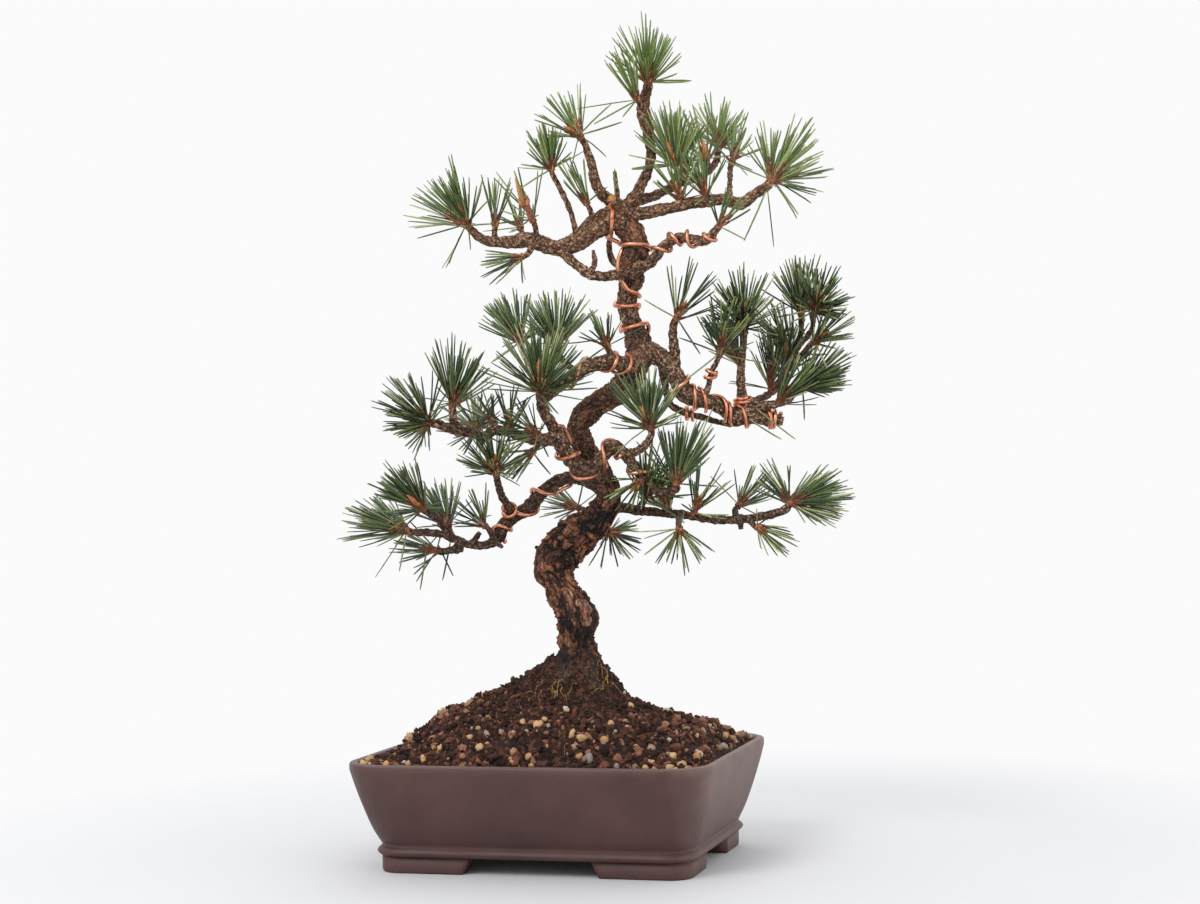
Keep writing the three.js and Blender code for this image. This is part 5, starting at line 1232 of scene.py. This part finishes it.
PAIRS_SHARE = 0.093
LEAST_PAIRS = 8
FORWARD = {"share": 0.9, "power": 0.45}
LEAN = {"first": 1.1, "uneven": 5, "least": 4, "most": 78, "jitter": 0.07}
FEET = {"first": 0.06, "run": 0.68, "out": 0.8}
LENGTHS = {"least": 0.8, "more": 0.26, "twin_least": 0.92, "twin_more": 0.12}
BENDS = {"to_bud": 0.06, "uneven": 0.025, "stray": 0.05}
PARTED = {"front": 0.22, "foot": 0.22}
STRAY = {"lean": 50, "more": 50, "least": 0.75, "longer": 0.35, "out": 0.6, "up": 0.1}
FORK_STEM = 1.8
SHOOT_RADIUS = 2.4
BUD = {"length": 10, "radius": 1.9}
BIG_BUDS = {
    "left_candle": [2.1, 1.6], "stub_front": [1.8, 1.7], "post": [1.4, 1.3], "apex": [1.5, 1.8],
    "right_crown": [1.6, 1.5], "right_back": [1.5, 1.4], "low_rise": [1.3, 1.2], "low_tip": [1.3, 1.2],
    "centre": [1.7, 1.6],
}
FULLNESS = {
    "left_candle": 0.25, "knee": 0.6, "outer_peg": 0.7, "low_post": 0.75, "stub_front": 1.3, "post": 1.3,
    "rear_high": 1.15, "rear_right": 1.3, "rear_side": 1.4, "tip": 1.3, "peg": 1.2, "stub_back": 1.2,
    "fork_side": 0.8, "trunk_left": 0.8, "trunk_right": 0.8, "low_hang": 0.6, "low_tip": 0.75,
    "low_rise": 0.85, "far_left": 1.05, "apex": 0.72, "apex_left": 0.8, "left_rise": 0.7,
    "right_crest": 1.3, "right_fan": 1.5, "low_end": 1.4, "low_mid": 1.3,
}
BUD_IN_VIEW = ["stub_front", "centre", "right_crown", "right_back", "low_tip", "low_rise", "far_left"]
FRONTWARD = np.array([math.sin(FRONT_TURN), -math.cos(FRONT_TURN), 0])
OPENNESS = {
    "stub_front": 1.35, "post": 1.2, "centre": 1.15, "low_post": 1.3, "outer_left": 1.2, "tip": 1.15,
}
STRAYS = 3

# Needles are a lighter green up in the crown, and painted shade makes them deeper low on the left:
# levels and an x, in metres, between which they change.
LIGHT_CROWN = (0.4, 0.54)
SHADED_LOW = (0.4, 0.34)
SHADED_LEFT = (0.0, -0.07)
PAIR_ANGLE = math.radians(7)
SIDE_SHOOTS = {
    "from": 13, "fuller_than": 0.65, "count": 2, "lean": 0.55, "least": 12, "share": 0.55, "spread": 0.62,
}
SIDE_REACH = {"least": 0.55, "more": 0.25}
SIDE_LENGTH = {"least": 0.74, "more": 0.2}


def needle_blades(roots, ways, lengths, bends):
    """Needles, as one part: three-sided blades from a root to a point. The middle at share t is
    the root plus t of the length along the way, plus t squared of the bend, and the width falls
    off near the tip. The points carry their share along and their needle's random tone."""
    count = len(roots)
    share = np.array(NEEDLE["rings"])[None, :, None]
    long = lengths[:, None, None]
    middle = roots[:, None] + ways[:, None] * long * share + bends[:, None] * long * share**2
    flat = unit(np.cross(ways, draw.normal(size=(count, 3))))
    other = np.cross(ways, flat)
    arms = spokes(flat * NEEDLE["width"] / 2, other * NEEDLE["thick"] / 2, turns(3))
    widths = np.array(NEEDLE["widths"])[None, :, None, None]
    rings = middle[:, :, None] + arms[:, None] * widths
    tips = roots + (ways + bends) * lengths[:, None]
    points = np.concatenate([rings.reshape(count, -1, 3), tips[:, None]], axis=1)
    rows = rings.shape[1]
    top, tip = (rows - 1) * 3, rows * 3
    ends = np.array([[2, 1, 0], [top, top + 1, tip], [top + 1, top + 2, tip], [top + 2, top, tip]])
    faces = for_each(count, tip + 1, grid_faces(rows, 3), ends)
    along = np.tile(np.append(np.repeat(NEEDLE["rings"], 3), 1.0), count)
    tone = np.repeat(draw.random(count), tip + 1)
    return points.reshape(-1, 3), faces, needles, {"along": along, "tone": tone}


def scaly_rod(material, start, way, length, radii, scale_long, relief, sides=10, step=0.7):
    """A shoot's or bud's part: rings along a straight way, with radii spread evenly along it.
    Scales overlap like tiles: each row starts high and falls, and its bumps stand between the
    last row's."""
    rows = max(5, round(length / step))
    along = np.linspace(0, 1, rows)
    radius = np.interp(along, np.linspace(0, 1, len(radii)), radii)
    side = unit(np.cross(way, ASKEW))
    turn = turns(sides)
    row_share = along * length / scale_long
    tile = 1 - (row_share % 1)
    bump = 0.5 + 0.5 * np.cos(turn[None] * SCALES["round"] + math.pi * np.floor(row_share)[:, None])
    lifted = radius[:, None] * (1 + relief * (tile[:, None] * bump - SCALES["sunk"]))
    arms = spokes(side, np.cross(way, side), turn)
    rings = start + way * (along * length)[:, None, None] + arms[None] * lifted[..., None]
    values = {"along": np.append(np.repeat(along, sides), [0, 1])}
    return (*closed_tube(rings), material, values)


needles = new_material("pine_needles", Specular_IOR_Level=0.5)
place = object_place(needles)
along = carried(needles, "along")
tone = carried(needles, "tone")
blotch = noise(place, 0.0035, 4.0, 0.6)
green = ramp(
    tone,
    (0.0, (34, 49, 36)), (0.3, (61, 82, 50)), (0.6, (98, 119, 66)),
    (0.85, (150, 162, 98)), (1.0, (198, 200, 152)),
)
green = tinted(green, blotch, (0.4, 0.7), (0.0, 0.4), (58, 78, 58))
sides = put("ShaderNodeSeparateXYZ", {0: place}).outputs
# Painted shade: needles low on the left are mixed towards a deep green.
shaded_low_left = between(sides["X"], *SHADED_LEFT, 0.0, 0.32)
shaded_low_left = worked("MULTIPLY", shaded_low_left, between(sides["Z"], *SHADED_LOW))
green = mixed(shaded_low_left, green, (44, 62, 42))
green = tinted(green, sides["Z"], LIGHT_CROWN, (0.0, 0.5), (134, 160, 70))
green = tinted(green, along, (0.92, 1.0), (0.0, 0.6), (150, 140, 88))
green = tinted(green, along, (0.04, 0.2), (0.85, 0.0), (168, 160, 104))
coat(
    needles, Base_Color=green, Roughness=between(blotch, *NOISE_SPAN, 0.3, 0.48),
    Normal=raised(noise(place, 0.0007, 3.0), 0.00025, 0.5),
)

shoot_bark = weathered(
    "young_shoot", (0.0012, 4.0, 0.65), (0.3, 0.7),
    [(0.0, (78, 40, 29)), (0.5, (134, 78, 53)), (1.0, (196, 144, 106))], (0.6, 0.85), (0.0006, 0.8),
    Specular_IOR_Level=0.35,
)

bud_scales = mottled(
    "bud_scales", "along", [(0.0, (124, 72, 42)), (0.5, (192, 112, 56)), (1.0, (206, 142, 88))],
    (0.0007, 3.0, 0.6), (0.5, 0.68), 0.7, (222, 190, 150), (0.0004, 0.7), (0.5, 0.8),
    Specular_IOR_Level=0.4,
)

sheath = weathered(
    "needle_sheaths", (0.0009, 3.0), (0.35, 0.65), [(0.0, (132, 84, 60)), (1.0, (80, 46, 35))],
    None, (0.0003, 0.6), Specular_IOR_Level=0.35,
)


def sheaths(roots, ways):
    """Short papery sheaths round the feet of the pairs: cones cut short, as one part."""
    count, sides = len(roots), SHEATH["sides"]
    flat = unit(np.cross(ways, draw.normal(size=(count, 3))))
    arms = spokes(flat, np.cross(ways, flat), turns(sides))
    rings = [
        roots[:, None] + ways[:, None] * far + arms * wide
        for far, wide in zip(SHEATH["far"], SHEATH["wide"])
    ]
    points = np.stack(rings, axis=1).reshape(-1, 3)
    return points, for_each(count, len(rings) * sides, grid_faces(len(rings), sides)), sheath, {}


def shoot_wood(base, way, reach, bud_size):
    """A shoot's scaly stem, the bud at its tip, and small side buds that lean out round it."""
    belly = BUD["radius"] * bud_size[1]
    bud_radii = [belly * share for share in BUD_BELLY] + [BUD_POINT]
    stem_radii = [SHOOT_RADIUS * STEM["foot"], SHOOT_RADIUS, SHOOT_RADIUS]
    stem_long = reach - BUD["length"] * (1 - STEM["into_bud"])
    tip = base + way * (reach - BUD["length"])
    parts = [
        scaly_rod(shoot_bark, base, way, stem_long, stem_radii, **STEM_SCALES),
        scaly_rod(bud_scales, tip, way, BUD["length"] * bud_size[0], bud_radii, **BUD_SCALES),
    ]
    side = unit(np.cross(way, SIDEWAYS))
    small_long = BUD["length"] * SIDE_BUDS["size"]
    small_radii = [radius * SIDE_BUDS["size"] for radius in bud_radii]
    for out in spokes(side, np.cross(way, side), np.array(SIDE_BUDS["turns"])):
        lean = unit(way + SIDE_BUDS["lean"] * out)
        start = tip + out * belly * SIDE_BUDS["out"]
        parts.append(scaly_rod(bud_scales, start, lean, small_long, small_radii, **SIDE_BUD_SCALES))
    return parts


def leafy_shoot(base, bud, pairs, long, spread, bud_size=(1.0, 1.0), strays=2, parted=False):
    """One shoot's parts: its stem and buds, its pairs of needles, and a few that stray.

    Pairs stand on a spiral of the golden angle. Each one's lean from the stem falls from the
    whole spread at the foot to a fifth of it under the bud, quickly at first. On a parted shoot,
    those above the foot that would stand before the bud are left out.
    """
    reach = np.linalg.norm(bud - base)
    way = (bud - base) / reach
    parts = shoot_wood(base, way, reach, bud_size)
    side = unit(np.cross(way, SIDEWAYS))
    sides = side, np.cross(way, side)
    share = (np.arange(pairs) + 0.5) / pairs
    out = spokes(*sides, np.arange(pairs) * GOLDEN_ANGLE + draw.random() * RANDOM_TURN)
    if parted:
        aside = (out @ FRONTWARD < PARTED["front"]) | (share < PARTED["foot"])
        share, out, pairs = share[aside], out[aside], int(aside.sum())
    lean = spread * (LEAN["first"] - FORWARD["share"] * share ** FORWARD["power"])
    lean += draw.normal(size=pairs) * LEAN["uneven"]
    lean = np.radians(np.clip(lean, LEAN["least"], LEAN["most"]))[:, None]
    jitter = draw.normal(size=(pairs, 3)) * LEAN["jitter"]
    ways = unit(way * np.cos(lean) + out * np.sin(lean) + jitter)
    feet_far = reach * (FEET["first"] + FEET["run"] * share)
    roots = base + way * feet_far[:, None] + out * SHOOT_RADIUS * FEET["out"]
    lengths = long * (LENGTHS["least"] + LENGTHS["more"] * draw.random(pairs))
    parts.append(sheaths(roots, ways))
    apart = unit(np.cross(ways, draw.normal(size=(pairs, 3)))) * math.tan(PAIR_ANGLE / 2)
    both = np.concatenate([unit(ways + apart), unit(ways - apart)])
    bends = np.tile((way - ways * (ways @ way)[:, None]) * BENDS["to_bud"], (2, 1))
    bends += draw.normal(size=(2 * pairs, 3)) * BENDS["uneven"]
    twins = LENGTHS["twin_least"] + LENGTHS["twin_more"] * draw.random(pairs)
    lengths = np.concatenate([lengths, lengths * twins])
    starts = np.tile(roots, (2, 1)) + both * NEEDLE["starts"]
    stray = spokes(*sides, draw.random(strays) * RANDOM_TURN)
    lean = np.radians(STRAY["lean"] + STRAY["more"] * draw.random(strays))[:, None]
    stray = way * np.cos(lean) + stray * np.sin(lean)
    stray_starts = base + stray * SHOOT_RADIUS * STRAY["out"] + way * reach * STRAY["up"]
    starts = np.concatenate([starts, stray_starts])
    stray_long = long * (STRAY["least"] + STRAY["longer"] * draw.random(strays))
    lengths = np.concatenate([lengths, stray_long])
    bends = np.concatenate([bends, draw.normal(size=(strays, 3)) * BENDS["stray"]])
    parts.append(needle_blades(starts, np.concatenate([both, stray]), lengths, bends))
    return parts


for name, *shoots in SPRAYS:
    way = way_out(shoots)
    base = spot(shoots[0][0][-1]) + way * (COLLAR + SEAT_GAP)
    parts = []
    if len(shoots) > 1:
        stem_radii = [SHOOT_RADIUS * STEM["foot"]] * 2
        parts.append(scaly_rod(shoot_bark, base, way, 2 * FORK_STEM, stem_radii, **FORK_SCALES))
        base = base + way * FORK_STEM
    for _, bud, count, long, spread in shoots:
        fullness = FULLNESS.get(name, 1.0)
        pairs = round(max(LEAST_PAIRS, PAIRS_SHARE * count**2) * fullness)
        reach = np.linalg.norm(spot(bud) - base)
        bud_size = BIG_BUDS.get(name, [1.0, 1.0])
        spread = spread * OPENNESS.get(name, 1.0)
        parts += leafy_shoot(base, spot(bud), pairs, long, spread, bud_size, STRAYS, name in BUD_IN_VIEW)
        full = count >= SIDE_SHOOTS["from"] and fullness > SIDE_SHOOTS["fuller_than"]
        for _ in range(SIDE_SHOOTS["count"] if full else 0):
            lean = unit(unit(spot(bud) - base) + SIDE_SHOOTS["lean"] * unit(draw.normal(size=3)))
            side_reach = reach * (SIDE_REACH["least"] + SIDE_REACH["more"] * draw.random())
            tip = base + lean * max(SIDE_SHOOTS["least"], side_reach)
            few = round(pairs * SIDE_SHOOTS["share"])
            short = long * (SIDE_LENGTH["least"] + SIDE_LENGTH["more"] * draw.random())
            parts += leafy_shoot(base, tip, few, short, spread * SIDE_SHOOTS["spread"])
    add_piece(f"needles_{name}", parts, [f"spray_{name}"])

# Training wires: soft copper-coloured wire wound round the trunk top and the limbs at a slant, to
# hold the bends. Each is a place among a limb's points and the turns so far: a whole number is on
# the front, and the turns go on to the limb's right-hand side.
WIRE_RADIUS = 1.25
THICK_WIRES = {"crown": 1.55, "fork": 1.35, "lower_left": 1.35}
WIRE_STEPS_PER_TURN = 14
WIRE_SPARE = 0.1
PUSHES = 60
SEARCHED_ROUND = 12
BALL_STEP = 1.5
NEARBY = 0.05
WIRES = [
    ["crown",
        ["left_limb", [0.15, 0.2], [0.5, 0], [0.9, -0.3]],
        ["trunk", [32.9, -0.3], [32.35, 0], [31.95, 0.25], [31.6, 0.72], [30.2, 0.85], [29.2, 1],
            [28.6, 1.25], [28, 1.75], [27.9, 2], [27.8, 2.25], [26.7, 2.75], [26.6, 3.2], [26.2, 3.35]]],
    ["middle_left",
        ["middle_left", [0.7, 0.25], [1, 0], [1.3, -0.25], [1.7, -0.75], [1.95, -1], [2.2, -1.25],
            [3.3, -1.7], [4.3, -2], [5.3, -2.25], [5.6, -2.6]]],
    ["fork",
        ["fork_left", [5, 0.1], [4.5, 0.25], [3.1, 0.35], [2.9, 0.75], [2.6, 1], [2.2, 1.25],
            [1.3, 1.75], [0.8, 2], [0.6, 2.2]],
        ["fork_right", [0.9, -0.5], [1.3, -0.75], [2.1, -1], [2.6, -1.25], [3.9, -1.75], [4.1, -2],
            [4.3, -2.25], [5.2, -2.75], [6.2, -3.25], [6.6, -3.5]]],
    ["right",
        ["right_limb", [3.1, -0.3], [3.4, 0], [3.7, 0.25], [4.1, 0.75], [4.5, 1], [4.9, 1.25],
            [6.2, 1.75], [6.8, 2], [7.3, 2.25], [7.9, 2.8], [8.3, 3.2], [9.5, 3.8], [10.2, 4.25],
            [10.7, 4.8]]],
    ["lower_left",
        ["lower_left", [1.8, -0.5], [2.2, -0.3], [3.2, -0.22], [3.9, 0], [4.3, 0.25], [5.2, 0.75],
            [6.2, 1], [7.2, 1.25], [7.7, 1.75], [8.1, 2], [8.5, 2.25], [9.2, 2.8]]],
    ["upper_right",
        ["upper_right_low", [1.6, -0.3], [2.1, 0.2], [2.6, 0.75], [2.85, 1], [3.1, 1.25], [3.7, 2],
            [4.2, 2.4], [5.1, 2.8], [5.3, 3], [5.5, 3.25]]],
]
SECOND_WIRES = [
    ["right",
        ["right_limb", [4.75, 0.75], [5.15, 1], [5.6, 1.25], [6.75, 1.75], [7.15, 2], [7.6, 2.25],
            [8.1, 2.7]]],
    ["post_ring", ["right_post", [0.9, -0.3], [1.0, 0], [1.12, 0.3], [1.2, 0.75], [1.3, 1.1]]],
    ["under_ring", ["right_under", [2.9, -0.3], [3.05, 0], [3.2, 0.3], [3.3, 0.8], [3.5, 1.2]]],
    ["peg_ring", ["right_peg", [1.6, -0.3], [1.75, 0], [1.9, 0.3], [2.05, 0.75], [2.2, 1.2]]],
    ["end_ring", ["right_limb", [9.6, -0.3], [9.8, 0], [10.0, 0.3], [10.15, 0.8], [10.35, 1.2]]],
    ["post_low", ["lower_left_post", [0.5, -0.3], [0.7, 0], [0.9, 0.3], [1.1, 0.8]]],
]
limb_balls = np.vstack([
    np.column_stack(stepped(limb, max(8, round(limb["along"][-1] / BALL_STEP)))[:2])
    for limb in list(grown.values()) + stubs + twigs
])


def turns_round(wire_radius, name, *keys):
    """Places of a wire's turns round one limb. At each key's place and turns, blended between
    keys, the wire stands off the limb's middle by both radii, on the side that the turns give."""
    limb = grown[name]
    keys = np.array(keys, float)
    steps = np.ceil(np.abs(np.diff(keys[:, 1])) * WIRE_STEPS_PER_TURN).astype(int)
    order = np.concatenate([k + np.arange(n) / n for k, n in enumerate(steps)] + [[len(keys) - 1]])
    place = np.interp(order, np.arange(len(keys)), keys[:, 0])
    angle = 2 * math.pi * np.interp(order, np.arange(len(keys)), keys[:, 1])[:, None]
    behind, middle, ahead = (on_limb(limb, place + step, "index") for step in (-NEARBY, 0, NEARBY))
    along = unit(ahead - behind)
    right = unit(np.cross(along, FRONTWARD))
    out = unit(np.cross(right, along))
    lift = (np.interp(place, limb["index"], limb["radius"]) + wire_radius + SEAT_GAP)[:, None]
    return middle + lift * (out * np.cos(angle) + right * np.sin(angle))


def pushed_clear(route, wire_radius):
    """The route with each place pushed away, again and again, from the limb that it is deepest in,
    until it clears all of them."""
    route = route.copy()
    balls = limb_balls[:, :3]
    near = (balls > route.min(0) - SEARCHED_ROUND) & (balls < route.max(0) + SEARCHED_ROUND)
    close = limb_balls[near.all(1)]
    for _ in range(PUSHES):
        away = route[:, None] - close[None, :, :3]
        far = np.linalg.norm(away, axis=2)
        short = close[:, 3] + wire_radius + WIRE_SPARE - far
        deepest = np.argmax(short, axis=1)
        rows = np.arange(len(route))
        depth = np.clip(short[rows, deepest], 0, None)
        route += away[rows, deepest] / far[rows, deepest][:, None] * depth[:, None]
    return route


def wound_wire(wire_radius, *runs):
    """One wire's part, through its turns round one limb after another."""
    route = np.vstack([turns_round(wire_radius, *run) for run in runs])
    return wire_tube(pushed_clear(route, wire_radius), wire_radius, copper)


copper = weathered(
    "copper_coloured_wire", (0.004, 5.0, 0.6), (0.3, 0.72),
    [(0.0, (232, 172, 144)), (0.6, (212, 140, 108)), (1.0, (150, 90, 66))], (0.28, 0.5),
    (0.00008, 0.6), (0.0009,), Metallic=1.0,
)
for name, *runs in WIRES:
    wire = wound_wire(THICK_WIRES.get(name, WIRE_RADIUS), *runs)
    add_piece(f"copper_{name}", [wire], [f"wire_{name}"])
for name, run in SECOND_WIRES:
    add_piece(f"copper_second_{name}", [wound_wire(WIRE_RADIUS, run)])

# Inner tufts: weaker leafy shoots further in on the limbs and behind them. Each is a name, the
# shoot's foot and its bud, the pairs of needles, and their length and spread.
INNER_TUFTS = [
    ["rear_inner", [148, 311, 13], [150, 338, 12], 20, 32, 50],
    ["rear_low", [157, 322, 18], [160, 345, 10], 20, 32, 50],
    ["rear_mid", [164, 336, 20], [152, 356, 20], 20, 34, 44],
    ["tip_low", [152, 303.5, -4], [163, 318, -14], 20, 30, 50],
    ["post_side", [128.5, 330, -3], [120, 348, 4], 22, 32, 50],
    ["crest_low", [108, 444, 0], [104, 459, -8], 12, 26, 62],
    ["crest_mid", [91, 442, -3], [87, 457, -12], 11, 25, 64],
    ["crest_back", [93, 457, 17], [96, 474, 22], 14, 28, 55],
    ["low_inner", [77, 232, 4], [73, 248, -4], 14, 28, 68],
    ["low_outer", [93, 230, 0], [100, 245, -8], 12, 27, 64],
    ["fork_under", [60, 256, -14], [50, 246, -20], 12, 22, 70],
    ["fork_top", [-29, 290, -9], [-31, 304, -16], 10, 25, 60],
]
for name, foot_point, bud, pairs, long, spread in INNER_TUFTS:
    base = spot(foot_point)
    add_piece(f"needles_{name}", leafy_shoot(base, spot(bud), pairs, long, spread))

# Loose needles: old ones that were caught in the branches, or hang from them by a thread of
# their sheath. Each is a foot and a tip.
LOOSE_NEEDLES = [
    [[133, 294, -6], [152, 279, -9]], [[139, 300, -8], [164, 277, -5]], [[109, 303, -9], [99, 284, -12]],
    [[-72, 215.5, 6], [-77, 190, 3]], [[-88, 212, 8], [-93, 186, 4]], [[-80, 214, 8], [-70, 192, 10]],
    [[149.5, 449, 3], [153, 410, 0]], [[148.5, 448.5, 3], [135, 416, -2]],
    [[46, 447, -8], [45, 466, -14]],
]
roots, tips = np.moveaxis(spot(LOOSE_NEEDLES), 1, 0)
lengths = np.linalg.norm(tips - roots, axis=1)
bends = draw.normal(size=roots.shape) * BENDS["stray"]
loose = needle_blades(roots, unit(tips - roots), lengths, bends)
add_piece("needles_loose", [loose])

# Setting: a plain pale floor, a soft lamp on either side and one overhead, and the photograph's
# viewpoint, level with the middle of the tree and turned with its front.
FLOOR = {"reach": 0.6, "rings": 12, "sides": 96, "fades_from": 0.34}
AIM_HEIGHT = 0.28
LENS = {"length": 69, "sensor": 36, "roll": -1.5, "shift": 9 / 1200}

# Each lamp's azimuth in degrees, its height, distance and size in metres, and its power in watts.
LAMPS = {
    "key_lamp": (-38, 1.7, 1.9, 1.1, 26),
    "fill_lamp": (48, 0.9, 2.2, 1.6, 8),
    "top_lamp": (170, 2.0, 1.2, 1.4, 10),
}
floor_mesh = bpy.data.meshes.new("floor")
far = np.linspace(FLOOR["reach"], 0.01, FLOOR["rings"])[:, None, None]
floor_rings = far * spokes(np.array([1.0, 0, 0]), np.array([0, 1.0, 0]), turns(FLOOR["sides"]))
floor_points, (floor_grid, _, floor_middle) = closed_tube(floor_rings)
floor_mesh.from_pydata(floor_points.tolist(), [], floor_grid.tolist() + floor_middle.tolist())
pale = new_material("pale_floor", Roughness=0.9)
place = object_place(pale)
outward = put("ShaderNodeVectorMath", {0: place}, operation="LENGTH").outputs["Value"]
coat(
    pale, Base_Color=mixed(noise(place, 0.4), (206, 207, 209), (212, 213, 215)),
    Alpha=between(outward, FLOOR["fades_from"], FLOOR["reach"] * 0.98, 1.0, 0.0),
)
floor_mesh.materials.append(pale)
floor = bpy.data.objects.new("floor", floor_mesh)
bpy.context.scene.collection.objects.link(floor)

world = bpy.data.worlds.new("studio")
world.use_nodes = True
world.node_tree.nodes["Background"].inputs["Color"].default_value = paint(251, 251, 252)
world.node_tree.nodes["Background"].inputs["Strength"].default_value = 1.0
bpy.context.scene.world = world


def lamp(name, azimuth, height, far, size, power):
    """A square soft lamp at an azimuth from the tree's front, aimed at the middle of the tree."""
    light = bpy.data.lights.new(name, "AREA")
    light.shape = "SQUARE"
    light.size = size
    light.energy = power
    made = bpy.data.objects.new(name, light)
    bpy.context.scene.collection.objects.link(made)
    turn = math.radians(azimuth) + FRONT_TURN
    made.location = (far * math.sin(turn), -far * math.cos(turn), height)
    aim = Vector((0, 0, AIM_HEIGHT)) - made.location
    made.rotation_euler = aim.to_track_quat("-Z", "Y").to_euler()


for name, settings in LAMPS.items():
    lamp(name, *settings)
bpy.context.scene.view_settings.view_transform = "Standard"

camera_data = bpy.data.cameras.new("camera")
camera_data.lens = LENS["length"]
camera_data.sensor_width = LENS["sensor"]
camera_data.shift_y = LENS["shift"]
camera = bpy.data.objects.new("camera", camera_data)
bpy.context.scene.collection.objects.link(camera)
turn_cos, turn_sin = math.cos(FRONT_TURN), math.sin(FRONT_TURN)
eye_x = EYE["u"] * turn_cos + EYE["distance"] * turn_sin
eye_y = EYE["u"] * turn_sin - EYE["distance"] * turn_cos
camera.location = Vector((np.array([eye_x, eye_y, EYE["w"]]) + POT_PLACE) * MM)
level = Euler((math.pi / 2, 0, FRONT_TURN)).to_matrix()
camera.rotation_euler = (level @ Matrix.Rotation(math.radians(LENS["roll"]), 3, "Z")).to_euler()
bpy.context.scene.camera = camera
